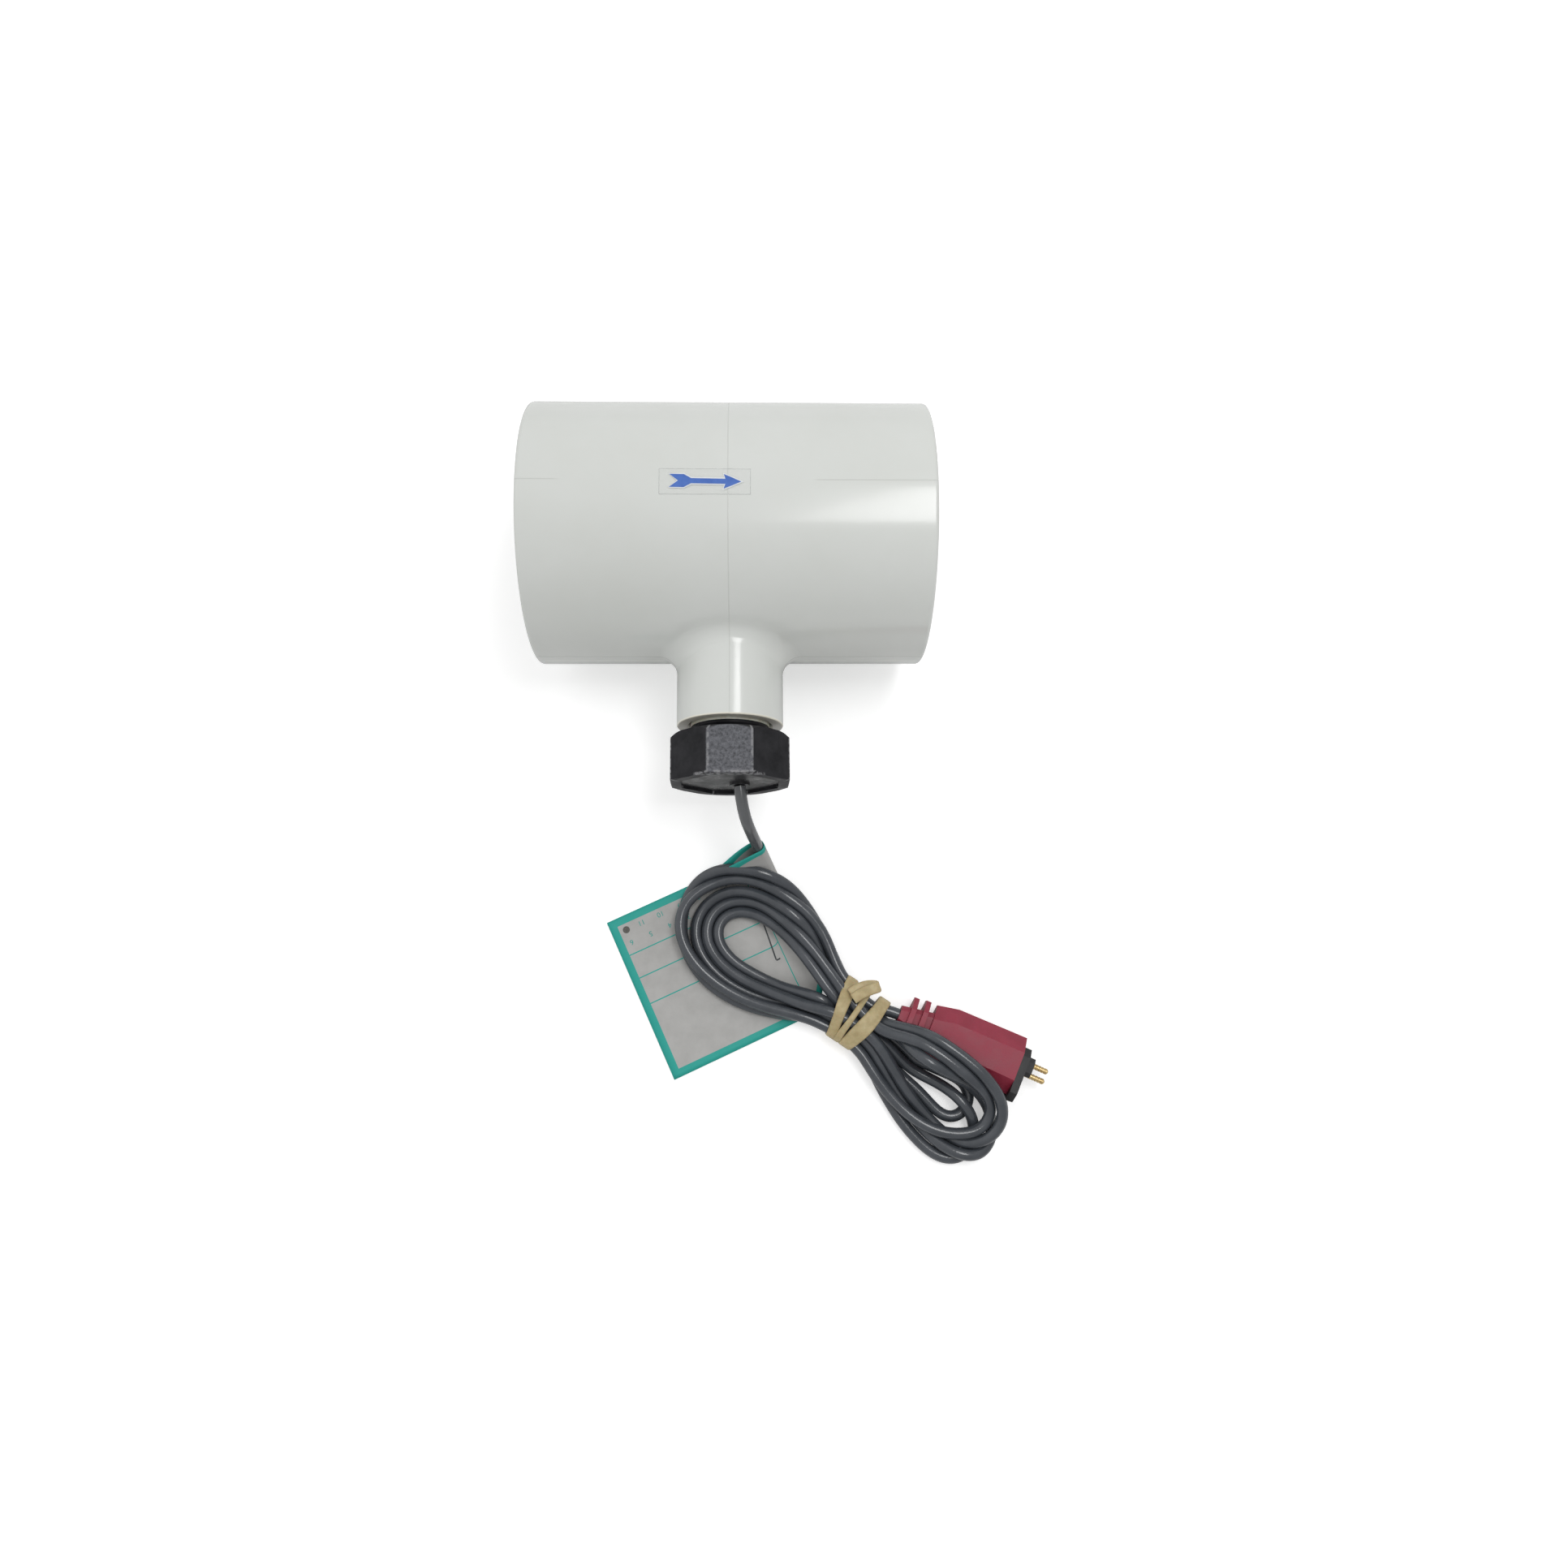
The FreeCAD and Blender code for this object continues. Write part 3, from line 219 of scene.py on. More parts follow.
# Each turn's two lobes in millimetres: reach from the waist, lean of the end, bow on the way out and back
LOWER_LOBES = [
    (40.0, 1.5, 4.5, 3.5),
    (47.5, -4.0, 7.5, 3.5),
    (50.5, -1.5, 6.0, 5.0),
    (51.0, 2.0, 5.5, 6.5),
    (46.0, 5.0, 5.0, 9.0),
]
UPPER_LOBES = [
    (46.5, 2.0, 8.2, 11.0),
    (57.3, 1.0, 17.8, 17.3),
    (52.0, 2.5, 12.0, 15.2),
    (50.0, 0.0, 12.5, 11.5),
    (58.0, 1.0, 15.5, 15.0),
]
TIP_RADIUS = 6.4
TURN_RISE = 3      # millimetres from one turn to the next, before they settle
PLUG_REAR = np.array((0.0548, -0.1331))
PLUG_HEADING = -24.0
MM = 0.001
# The label is folded round the lead and rises to it over this run, and more where the lead is high
LABEL_SIDE, LABEL_TURN = 0.0480, 24.3
LABEL_CORNER = np.array((-0.0359, -0.1031))
FOLD_RUN, FOLD_SLOPE, LEAD_LOW = 0.008, 0.9, 0.002


def heading(degrees):
    """A unit vector that way on the table, and the one to its left."""
    turn = math.radians(degrees)
    return np.array((math.cos(turn), math.sin(turn))), np.array((-math.sin(turn), math.cos(turn)))


def through_band(place, onward):
    """Two points that carry a pass straight through the rubber band."""
    along, across = heading(WAIST_HEADING)
    middle = WAIST + across * place[0] * MM
    ends = [middle - along * BAND_REACH * onward, middle + along * BAND_REACH * onward]
    return [(*end, place[1] * MM) for end in ends]


def lobe(towards, start, end, shape, level, count=46):
    """One lobe of a turn, out of the band and back into it, as evenly spaced points."""
    reach, lean, out_bow, back_bow = (value * MM for value in shape)
    along, left = heading(towards)
    across = heading(WAIST_HEADING)[1]
    angle = np.linspace(0, 2 * math.pi, 400)
    half = np.sin(angle / 2)
    done = (1 - np.cos(angle / 2)) / 2
    tip = max(0, math.sqrt(TIP_RADIUS * MM * reach / 2) - (out_bow + back_bow) / 2)
    out = BAND_REACH + (reach - BAND_REACH) * (1 - np.cos(angle)) / 2
    side = out_bow * (1 - done) + back_bow * done
    bow = np.sin(angle) * (side * half + tip * half**6) + lean * half**2
    base = (start[0] * (1 - done) + end[0] * done) * MM
    flat = WAIST + np.outer(base, across) + np.outer(out, along) + np.outer(bow, left)
    lift = np.sqrt(half)
    height = (start[1] * (1 - done) + end[1] * done) * MM * (1 - lift) + level * MM * lift
    curve = np.column_stack([flat, height])
    length = np.append(0, np.cumsum(np.linalg.norm(np.diff(curve, axis=0), axis=1)))
    stops = np.linspace(0, length[-1], count + 1)[1:-1]
    return [tuple(np.interp(stop, length, curve[:, axis]) for axis in range(3)) for stop in stops]


# How firmly a point is held: by nothing, by the rubber band, or in its place
FREE, GRIPPED, FIXED = 0, 1, 2


def pushed_apart(points, one, other):
    """How far each point moves to leave room between turns that touch."""
    room, farthest = CORD_DIA * 1.02, 0.4 * MM
    between = points[one] - points[other]
    gap = np.linalg.norm(between, axis=1) + 1e-9
    push = np.clip(room - gap, 0, None) * 0.3 / gap
    sums = [np.bincount(one, between[:, axis] * push, len(points)) for axis in range(3)]
    move = np.column_stack(sums)
    far = np.linalg.norm(move, axis=1, keepdims=True)
    return move * np.minimum(1, farthest / np.maximum(far, 1e-9))


def straightened(points):
    """How far each point moves because the cord resists bending."""
    bend = np.zeros_like(points)
    bend[1:-1] = (points[2:] + points[:-2]) / 2 - points[1:-1]
    ease = np.zeros_like(points)
    ease[1:-1] = bend[1:-1] - (bend[2:] + bend[:-2]) / 2
    return ease * 0.25


def pulled_even(points, spacing):
    """How far each point moves because the cord doesn't stretch."""
    run = np.diff(points, axis=0)
    stretch = run * (1 - spacing / np.linalg.norm(run, axis=1))[:, None] * 0.25
    pull = np.zeros_like(points)
    pull[:-1] += stretch
    pull[1:] -= stretch
    return pull


def fold_run(lead_height):
    """How far from the lead the label starts to rise to it."""
    return FOLD_RUN + FOLD_SLOPE * (lead_height - LEAD_LOW)


def height_over_label(points):
    """The least height of the turns where the label rises to the lead it is folded round."""
    over_lead, above = 0.0020, 0.0027
    across, up_left = heading(LABEL_TURN)
    lead = np.array(LEAD_ROUTE)
    lead_across, lead_down = (lead[:, :2] - LABEL_CORNER) @ across, (lead[:, :2] - LABEL_CORNER) @ -up_left
    in_from_corner, down = (points[:, :2] - LABEL_CORNER) @ across, (points[:, :2] - LABEL_CORNER) @ -up_left
    lead_height = np.interp(down, lead_down, lead[:, 2])
    aside = np.interp(down, lead_down, lead_across) - in_from_corner
    share = np.clip(aside / fold_run(lead_height), 0, 1)
    near = (down > -0.008) & (down < LABEL_SIDE) & (aside > -0.0015) & (share < 1)
    return np.where(near, (lead_height + over_lead) * (1 - share**2 * (3 - 2 * share)) + above, 0)


def settle(points, hold, rounds=400):
    """Lets the turns sink until they rest on the table, on the plug and on each other."""
    sink, table_rest = 0.05 * MM, 2.0 * MM
    plug_end, plug_side, plug_middle, plug_rest = 27 * MM, 9.4 * MM, 6 * MM, 11.7 * MM
    band_pull, own_pull = 0.12, 0.006
    points, home = points.copy(), points.copy()
    loose, gripped, free = hold != FIXED, hold == GRIPPED, hold == FREE
    keep = np.where(gripped, band_pull, own_pull)[:, None]
    spacing = np.linalg.norm(np.diff(points, axis=0), axis=1)
    order = np.arange(len(points))
    apart = np.abs(order[:, None] - order[None]) > 4
    plug_along, plug_left = heading(PLUG_HEADING)
    for step in range(rounds):
        if step < rounds * 0.8:
            points[loose, 2] -= sink
        if step % 20 == 0:
            gaps = np.linalg.norm(points[:, None] - points[None], axis=2)
            one, other = np.nonzero((gaps < 2.5 * CORD_DIA) & apart)
        points[loose] += pushed_apart(points, one, other)[loose]
        for _ in range(4):
            points[loose] += straightened(points)[loose]
        points[loose] += pulled_even(points, spacing)[loose]
        points[loose, :2] += ((home - points) * keep)[loose, :2]
        points[gripped, 2] += (home[gripped, 2] - points[gripped, 2]) * band_pull
        points[loose, 2] = np.maximum(points[loose, 2], table_rest)
        points[free, 2] = np.maximum(points[free, 2], height_over_label(points)[free])
        place = points[:, :2] - PLUG_REAR
        ahead, aside = place @ plug_along, place @ plug_left
        over = loose & (ahead > -1 * MM) & (ahead < plug_end) & (np.abs(aside) < plug_side)
        high = over & (points[:, 2] > plug_middle)
        points[high, 2] = np.maximum(points[high, 2], plug_rest)
        low = over & ~high
        points[low, :2] -= plug_left * (aside[low] + plug_side)[:, None] * 0.5
    return points


def hank_points():
    """The whole cord's control points, with the loose turns settled."""
    points, hold = list(LEAD_ROUTE), [FIXED] * len(LEAD_ROUTE)

    def extend(more, held):
        points.extend(more)
        hold.extend([held] * len(more))

    for turn, (lower, upper) in enumerate(zip(LOWER_LOBES, UPPER_LOBES)):
        right, left, following = RIGHT_PASSES[turn], LEFT_PASSES[turn], RIGHT_PASSES[turn + 1]
        extend(through_band(right, 1), GRIPPED)
        extend(lobe(LOWER_HEADING, right, left, lower, 2 + TURN_RISE * turn), FREE)
        extend(through_band(left, -1), GRIPPED)
        extend(lobe(UPPER_HEADING, left, following, upper, 5 + TURN_RISE * turn), FREE)
    extend(through_band(RIGHT_PASSES[-1], 1)[:1], FIXED)
    extend(TAIL_ROUTE, FIXED)
    return settle(np.array(points), np.array(hold))


def make_cord():
    """One smooth curve. Its points carry the cord's radius, so that its bounds are the cord's own."""
    curve = bpy.data.curves.new("cord", "CURVE")
    curve.dimensions = "3D"
    curve.bevel_depth = 1.0
    curve.bevel_resolution = 5
    curve.resolution_u = 4
    points = hank_points()
    spline = curve.splines.new("NURBS")
    spline.points.add(len(points) - 1)
    for point, place in zip(spline.points, points):
        point.co = (place[0], place[1] + run_middle.y, place[2], 1)
        point.radius = CORD_DIA / 2
    spline.order_u = 3
    spline.use_endpoint_u = True
    return in_scene("cord", curve)


cord = make_cord()
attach(cord, "root")
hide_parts("cord_lead", "cord_hank", "cord_tail")


def new_group(name, inputs, outputs):
    """An empty shader node group with those sockets: (name, kind, value) in, (name, kind) out."""
    group = bpy.data.node_groups.new(name, "ShaderNodeTree")
    for label, kind, value in inputs:
        socket = group.interface.new_socket(label, in_out="INPUT", socket_type="NodeSocket" + kind)
        socket.default_value = value
    for label, kind in outputs:
        group.interface.new_socket(label, in_out="OUTPUT", socket_type="NodeSocket" + kind)
    return group, group.nodes.new("NodeGroupInput"), group.nodes.new("NodeGroupOutput")


# Places of a colour Mix node's sockets
MIX_FACTOR, MIX_UNDER, MIX_OVER, MIX_COLOUR = 0, 6, 7, 2


def make_used_surface():
    """Patches of a second colour, fine grain and uneven gloss, as every handled plastic has."""
    inputs = [
        ("Colour", "Color", (0.5, 0.5, 0.5, 1)),
        ("Patch Colour", "Color", (0.4, 0.4, 0.4, 1)),
        ("Patches", "Float", 120.0),
        ("Grain", "Float", 2500.0),
        ("Grain Depth", "Float", 0.00002),
        ("Roughness", "Float", 0.4),
        ("Roughness Change", "Float", 0.1),
    ]
    outputs = [("Colour", "Color"), ("Roughness", "Float"), ("Normal", "Vector")]
    group, given, result = new_group("used surface", inputs, outputs)
    place = shader_node(group, "TexCoord")
    patch = shader_node(group, "TexNoise", values={"Detail": 5.0, "Roughness": 0.6})
    grain = shader_node(group, "TexNoise", values={"Detail": 2.0})
    mask = shader_node(group, "MapRange", values={"From Min": 0.36, "From Max": 0.66})
    blend = shader_node(group, "Mix", {"data_type": "RGBA"})
    bump = shader_node(group, "Bump", values={"Strength": 0.6})
    for texture, scale in ((patch, "Patches"), (grain, "Grain")):
        link(group, place, "Object", texture, "Vector")
        link(group, given, scale, texture, "Scale")
    link(group, patch, "Fac", mask, "Value")
    link(group, mask, "Result", blend, "Factor")
    link(group, given, "Colour", blend, MIX_UNDER)
    link(group, given, "Patch Colour", blend, MIX_OVER)
    terms = mask.outputs["Result"], given.outputs["Roughness Change"], given.outputs["Roughness"]
    group.links.new(calculate(group, "MULTIPLY_ADD", *terms), result.inputs["Roughness"])
    link(group, grain, "Fac", bump, "Height")
    link(group, given, "Grain Depth", bump, "Distance")
    link(group, blend, MIX_COLOUR, result, "Colour")
    link(group, bump, "Normal", result, "Normal")
    return group


used_surface = make_used_surface()


def finish(name, colour, patch_colour, roughness, change=0.1, patches=120, grain=2500, depth=0.00002,
           plain=None):
    """A material with one Principled shader fed by the used surface.

    The roughness rises by `change` on the patches, `patches` and `grain` are how fine the two patterns are,
    `depth` is the grain's, and `plain` goes on the shader's own sockets.
    """
    material = bpy.data.materials.new(name)
    material.use_nodes = True
    tree = material.node_tree
    shader = tree.nodes["Principled BSDF"]
    for socket, value in (plain or {}).items():
        shader.inputs[socket].default_value = value
    used = tree.nodes.new("ShaderNodeGroup")
    used.name = "Used"
    used.node_tree = used_surface
    given = {
        "Colour": (*colour, 1),
        "Patch Colour": (*patch_colour, 1),
        "Patches": patches,
        "Grain": grain,
        "Grain Depth": depth,
        "Roughness": roughness,
        "Roughness Change": change,
    }
    for socket, value in given.items():
        used.inputs[socket].default_value = value
    link(tree, used, "Colour", shader, "Base Color")
    link(tree, used, "Roughness", shader, "Roughness")
    link(tree, used, "Normal", shader, "Normal")
    return material


def tint(material, mask, colour):
    """Lays one more colour over the base colour where the mask is 1."""
    tree = material.node_tree
    target = tree.nodes["Principled BSDF"].inputs["Base Color"]
    under = target.links[0].from_socket
    over = shader_node(tree, "Mix", {"data_type": "RGBA"})
    over.inputs[MIX_OVER].default_value = (*colour, 1)
    tree.links.new(mask, over.inputs[MIX_FACTOR])
    tree.links.new(under, over.inputs[MIX_UNDER])
    tree.links.new(over.outputs[MIX_COLOUR], target)


def emboss(material, height, depth):
    """Adds a height on top of the surface's own grain."""
    tree = material.node_tree
    target = tree.nodes["Principled BSDF"].inputs["Normal"]
    bump = shader_node(tree, "Bump", values={"Distance": depth})
    tree.links.new(target.links[0].from_socket, bump.inputs["Normal"])
    tree.links.new(height, bump.inputs["Height"])
    tree.links.new(bump.outputs["Normal"], target)


def object_axes(tree):
    """Sockets of the object's X, Y and Z."""
    split = shader_node(tree, "SeparateXYZ")
    link(tree, shader_node(tree, "TexCoord"), "Object", split, "Vector")
    return [split.outputs[axis] for axis in "XYZ"]


def ramp(tree, value, start, end):
    """0 at start, 1 at end, smooth between."""
    values = {"From Min": start, "From Max": end}
    node = shader_node(tree, "MapRange", {"interpolation_type": "SMOOTHSTEP"}, values)
    tree.links.new(value, node.inputs["Value"])
    return node.outputs["Result"]


def distance_from(tree, value, middle):
    """How far a socket's value is from a number."""
    return calculate(tree, "ABSOLUTE", calculate(tree, "SUBTRACT", value, middle))


def make_jacket():
    """Slate grey jacket with a satin skin, painted paler where it stands free at the head as a painted sheen
    for the light it catches there.
    """
    material = finish("cord jacket", (0.044, 0.050, 0.059), (0.062, 0.069, 0.080), 0.17, change=0.06,
                      patches=160, grain=1800, depth=0.00003, plain={"Specular IOR Level": 0.62})
    hank_end, head_end = -0.0720, -0.0640
    back = object_axes(material.node_tree)[1]
    # Painted sheen: the stretch at the head is painted paler for the light it reflects
    tint(material, ramp(material.node_tree, back, hank_end, head_end), (0.105, 0.110, 0.115))
    return material


cord.data.materials.append(make_jacket())

# ---------------------------------------------------------------- tee
# White pressure-pipe tee, one PVC moulding with two pipe sockets and a threaded branch, glossy from the tool.
# The tool leaves faint lines: round the middle, along both sides, and along the crown near the ends.


def make_pvc():
    material = finish("white pipe plastic", (0.672, 0.690, 0.664), (0.645, 0.663, 0.632), 0.18, change=0.05,
                      patches=26, grain=900, depth=0.00001,
                      plain={"Specular IOR Level": 0.5, "Coat Weight": 0.12, "Coat Roughness": 0.06})
    tree = material.node_tree
    along, back, up = object_axes(tree)
    round_middle = ramp(tree, distance_from(tree, along, 0.0001), 0.00016, 0.00004)
    side_seam = ramp(tree, distance_from(tree, up, run_middle.z + 0.0012), 0.00045, 0.00015)
    crown_line = ramp(tree, distance_from(tree, back, run_middle.y - 0.0004), 0.00014, 0.00004)
    near_ends = ramp(tree, distance_from(tree, along, -0.0100), 0.0300, 0.0330)
    crown_line = calculate(tree, "MULTIPLY", crown_line, near_ends)
    lines = calculate(tree, "MAXIMUM", calculate(tree, "MAXIMUM", round_middle, side_seam), crown_line)
    emboss(material, lines, 0.00006)
    tint(material, calculate(tree, "MULTIPLY", lines, 0.16), (0.36, 0.37, 0.34))
    # The branch's end face is painted pale cream, painted light against the shade the head casts on it
    tint(material, ramp(tree, back, -0.0363, -0.0366), (0.880, 0.850, 0.740))
    # A few dark specks
    specks = shader_node(tree, "TexVoronoi", values={"Scale": 62.0})
    link(tree, shader_node(tree, "TexCoord"), "Object", specks, "Vector")
    pick = shader_node(tree, "SeparateColor")
    link(tree, specks, "Color", pick, "Color")
    rare = calculate(tree, "GREATER_THAN", pick.outputs["Red"], 0.55)
    dots = calculate(tree, "MULTIPLY", ramp(tree, specks.outputs["Distance"], 0.022, 0.012), rare)
    tint(material, calculate(tree, "MULTIPLY", dots, 0.55), (0.20, 0.18, 0.14))
    return material


def dress(node, material):
    """Gives a CAD node its finish."""
    mesh = nodes[node].data
    mesh.materials.clear()
    mesh.materials.append(material)


dress("tee_body", make_pvc())

# ---------------------------------------------------------------- flow arrow
# Clear film sticker on the crown of the run, with a blue feathered arrow printed on it inside a white edge.
# The arrow points the way the water flows.

ARROW_TAIL, ARROW_TIP, ARROW_LINE = -0.0143, 0.0034, -0.0008
ARROW_TURN = -0.9
ARROW_EDGE = 0.00032      # width of the white edge round the blue
EDGE_LIFT, PRINT_LIFT = 0.00002, 0.00004      # heights of the white and the blue over the film
STRIP = 0.0005      # width of the strips that the arrow is cut into
film_low, film_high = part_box("flow_arrow_label")
film_radius = film_high.z - run_middle.z


def arrow_outline(grow):
    """The arrow about its own line: notched tail feathers, straight shaft and barbed head."""
    long = ARROW_TIP - ARROW_TAIL
    upper = [
        (-grow, 0.0017 + grow * 0.6),
        (0.0036, 0.0017 + grow),
        (0.0054 + grow * 0.4, 0.00068 + grow),
        (long - 0.0039 - grow, 0.00066 + grow),
        (long - 0.0043 - grow, 0.0019 + grow * 1.4),
        (long - 0.0024, 0.0011 + grow),
        (long + grow * 2.2, 0),
    ]
    lower = [(x, -y) for x, y in reversed(upper[:-1])]
    return upper + lower + [(0.0022 - grow, 0)]


def flat_mark(name, build, material):
    """A printed mark: a bmesh of flat faces that all look up."""
    mesh = bpy.data.meshes.new(name)
    build.to_mesh(mesh)
    build.free()
    if sum(face.normal.z for face in mesh.polygons) < 0:
        mesh.flip_normals()
    mesh.materials.append(material)
    mark = in_scene(name, mesh)
    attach(mark, "root")
    return mark


def print_on_film(name, outline, lift, material):
    """A flat shape laid on the film's curve, cut into strips so that it follows the curve."""
    build = bmesh.new()
    build.faces.new([build.verts.new((x, y, 0)) for x, y in outline])
    for step in range(-4, 5):
        whole = build.verts[:] + build.edges[:] + build.faces[:]
        bmesh.ops.bisect_plane(build, geom=whole, plane_co=(0, step * STRIP, 0), plane_no=(0, 1, 0))
    bmesh.ops.triangulate(build, faces=build.faces[:])
    turn = Matrix.Rotation(math.radians(ARROW_TURN), 3, "Z")
    for vert in build.verts:
        flat = turn @ vert.co + Vector((ARROW_TAIL, ARROW_LINE, 0))
        angle = flat.y / film_radius
        reach = film_radius + lift
        vert.co = (flat.x, run_middle.y + reach * math.sin(angle), run_middle.z + reach * math.cos(angle))
    bmesh.ops.recalc_face_normals(build, faces=build.faces[:])
    flat_mark(name, build, material)


def make_film():
    """Clear film: almost nothing but its gloss, and the grey line of its cut edge."""
    material = finish("clear film", (0.76, 0.78, 0.78), (0.75, 0.77, 0.77), 0.14, change=0.05, patches=60,
                      grain=900, depth=0.000004, plain={"Specular IOR Level": 0.4})
    tree = material.node_tree
    along, back, _ = object_axes(tree)
    middle = (film_low + film_high) / 2
    half = (film_high - film_low) / 2
    from_end = calculate(tree, "SUBTRACT", half.x, distance_from(tree, along, middle.x))
    from_side = calculate(tree, "SUBTRACT", half.y, distance_from(tree, back, middle.y))
    edge = ramp(tree, calculate(tree, "MINIMUM", from_end, from_side), 0.00022, 0.00006)
    tint(material, edge, (0.40, 0.42, 0.42))
    clear = calculate(tree, "MULTIPLY_ADD", edge, 0.24, 0.06)
    outside = calculate(tree, "SUBTRACT", 1.0, shader_node(tree, "NewGeometry").outputs["Backfacing"])
    clear = calculate(tree, "MULTIPLY", clear, outside)
    tree.links.new(clear, tree.nodes["Principled BSDF"].inputs["Alpha"])
    return material


dress("flow_arrow_label", make_film())
white_ink = finish("white ink", (0.72, 0.75, 0.76), (0.68, 0.71, 0.73), 0.35, patches=400, grain=3000,
                   depth=0.000005)
blue_ink = finish("blue ink", (0.042, 0.125, 0.450), (0.062, 0.160, 0.520), 0.32, patches=420, grain=3000,
                  depth=0.000005)
print_on_film("flow_arrow_edge", arrow_outline(ARROW_EDGE), EDGE_LIFT, white_ink)
print_on_film("flow_arrow_print", arrow_outline(0.0), PRINT_LIFT, blue_ink)

# ---------------------------------------------------------------- thread seal and switch body
# White PTFE tape wound on the male thread, and the black glass-filled body that screws in with it.
# The octagonal head is satin from the tool, with a painted grey sheen on the flat that faces up and painted
# highlights along its edges.

HEAD_START, HEAD_FULL = -0.0396, -0.0400      # along the branch, where the head begins
HEAD_TURN, HALF_FLAT = -1.0, 20.0      # degrees: how the octagon is turned, and half of a long flat


def make_glass_filled():
    material = finish("black glass-filled plastic", (0.011, 0.011, 0.013), (0.026, 0.026, 0.029), 0.36,
                      change=0.14, patches=210, grain=3800, depth=0.00003, plain={"Specular IOR Level": 0.12})
    tree = material.node_tree
    along, back, up = object_axes(tree)
    lifted = calculate(tree, "SUBTRACT", up, run_middle.z)
    # The octagon repeats each quarter turn
    angle = calculate(tree, "ARCTAN2", along, lifted)
    turned = calculate(tree, "ADD", angle, math.radians(HEAD_TURN) + math.pi * 2)
    folded = calculate(tree, "PINGPONG", turned, math.radians(45))
    from_corner = distance_from(tree, folded, math.radians(HALF_FLAT))
    head = ramp(tree, back, HEAD_START, HEAD_FULL)
    corner = calculate(tree, "MULTIPLY", ramp(tree, from_corner, math.radians(1.6), math.radians(0.6)), head)
    rim = calculate(tree, "MULTIPLY", ramp(tree, back, -0.0515, -0.0520), ramp(tree, lifted, 0.0118, 0.0128))
    place = shader_node(tree, "TexCoord")
    edge_highlight_noise = shader_node(tree, "TexNoise", values={"Scale": 900.0, "Detail": 4.0})
    sheen_noise = shader_node(tree, "TexNoise", values={"Scale": 1250.0, "Detail": 5.0, "Roughness": 0.7})
    link(tree, place, "Object", edge_highlight_noise, "Vector")
    link(tree, place, "Object", sheen_noise, "Vector")
    # Painted light: the flat that faces up gets a mottled grey painted sheen, and its edges get painted
    # highlights
    flat = calculate(tree, "MULTIPLY", ramp(tree, lifted, 0.0150, 0.0154), head)
    painted_sheen = calculate(tree, "MULTIPLY", flat, ramp(tree, sheen_noise.outputs["Fac"], 0.12, 0.80))
    # Painted sheen on the flat that faces up, mottled by noise
    tint(material, calculate(tree, "MULTIPLY", painted_sheen, 0.80), (0.215, 0.221, 0.243))
    edges = calculate(tree, "MAXIMUM", corner, rim)
    painted_edge_highlight = calculate(tree, "MULTIPLY", edges, ramp(tree, edge_highlight_noise.outputs["Fac"], 0.38, 0.60))
    # Painted highlights along the octagon's corners and the rim, broken up by noise
    tint(material, calculate(tree, "MULTIPLY", painted_edge_highlight, 0.85), (0.26, 0.26, 0.27))
    return material


tape_film = finish("thread seal film", (0.74, 0.72, 0.64), (0.62, 0.58, 0.47), 0.48, change=0.2, patches=420,
                   grain=2200, depth=0.00006, plain={"Subsurface Weight": 0.1, "Subsurface Scale": 0.002})
dress("thread_tape", tape_film)
dress("switch_body", make_glass_filled())

# ---------------------------------------------------------------- potting, reed and wiring
# Epoxy poured into the head's recess round the cord, and behind it the sealed reed in the bore with its two
# soldered and sleeved leads.

resin = finish("black potting resin", (0.010, 0.010, 0.011), (0.020, 0.020, 0.022), 0.26, change=0.2,
               patches=260, grain=900, depth=0.00008, plain={"Specular IOR Level": 0.55})
glass = finish("green-tinted glass", (0.60, 0.70, 0.62), (0.56, 0.68, 0.60), 0.05, change=0.03, patches=300,
               grain=900, depth=0.00001, plain={"Transmission Weight": 0.85, "IOR": 1.47})
plated = finish("tin-plated iron", (0.62, 0.60, 0.56), (0.50, 0.48, 0.44), 0.22, change=0.2, patches=900,
                grain=5000, depth=0.00001, plain={"Metallic": 1.0})
sleeve = finish("heat-shrink sleeve", (0.020, 0.020, 0.021), (0.034, 0.034, 0.036), 0.5, change=0.12,
                patches=700, grain=3600, depth=0.00004)
insulation = finish("core insulation", (0.090, 0.092, 0.096), (0.070, 0.072, 0.078), 0.42, patches=600,
                    grain=3000, depth=0.00002)
dress("potting_compound", resin)
dress("reed_glass", glass)
dress("reed_blade_outer", plated)
dress("reed_blade_inner", plated)
for side in ("near", "far"):
    dress("lead_sleeve_" + side, sleeve)
    dress("core_wire_" + side, insulation)

# ---------------------------------------------------------------- paddle, magnet, pin and spring
# The moving end: an acetal paddle on a stainless pin, with a ferrite magnet pressed in its tail and a torsion
# spring that holds it across the flow.

acetal = finish("acetal", (0.64, 0.63, 0.58), (0.57, 0.55, 0.48), 0.34, change=0.14, patches=160, grain=2400,
                depth=0.00002, plain={"Subsurface Weight": 0.15, "Subsurface Scale": 0.002})
ferrite = finish("ferrite", (0.045, 0.043, 0.044), (0.085, 0.080, 0.080), 0.40, change=0.18, patches=800,
                 grain=5200, depth=0.00005)
stainless = finish("stainless", (0.58, 0.57, 0.55), (0.48, 0.47, 0.46), 0.24, change=0.14, patches=700,
                   grain=6000, depth=0.00001, plain={"Metallic": 1.0})
dress("paddle", acetal)
dress("magnet", ferrite)
dress("pivot_pin", stainless)
dress("return_spring", stainless)

# ---------------------------------------------------------------- rubber band
# A tan rubber band doubled three times round the waist of the hank, with a folded ear standing out of it.
# Its wraps lie close together where they are twisted, and spread on the far side.

BAND_THICK = 0.0009
BAND_SLACK = 0.00035      # room between the band and the bundle
BAND_WIDTHS = (0.0034, 0.0018, 0.0042)
BAND_SHIFTS = (-0.0040, -0.0004, 0.0036)      # each wrap from the waist, along the hank
BAND_BULGE = 0.0008      # how far the outer wraps bow away from the middle one
BAND_FAN, BAND_UNEVEN = 0.42, 0.0004      # share by which the wraps spread, and how far they wander
BAND_CROSSING = 0.0006      # how much higher the middle wrap lies than the other two
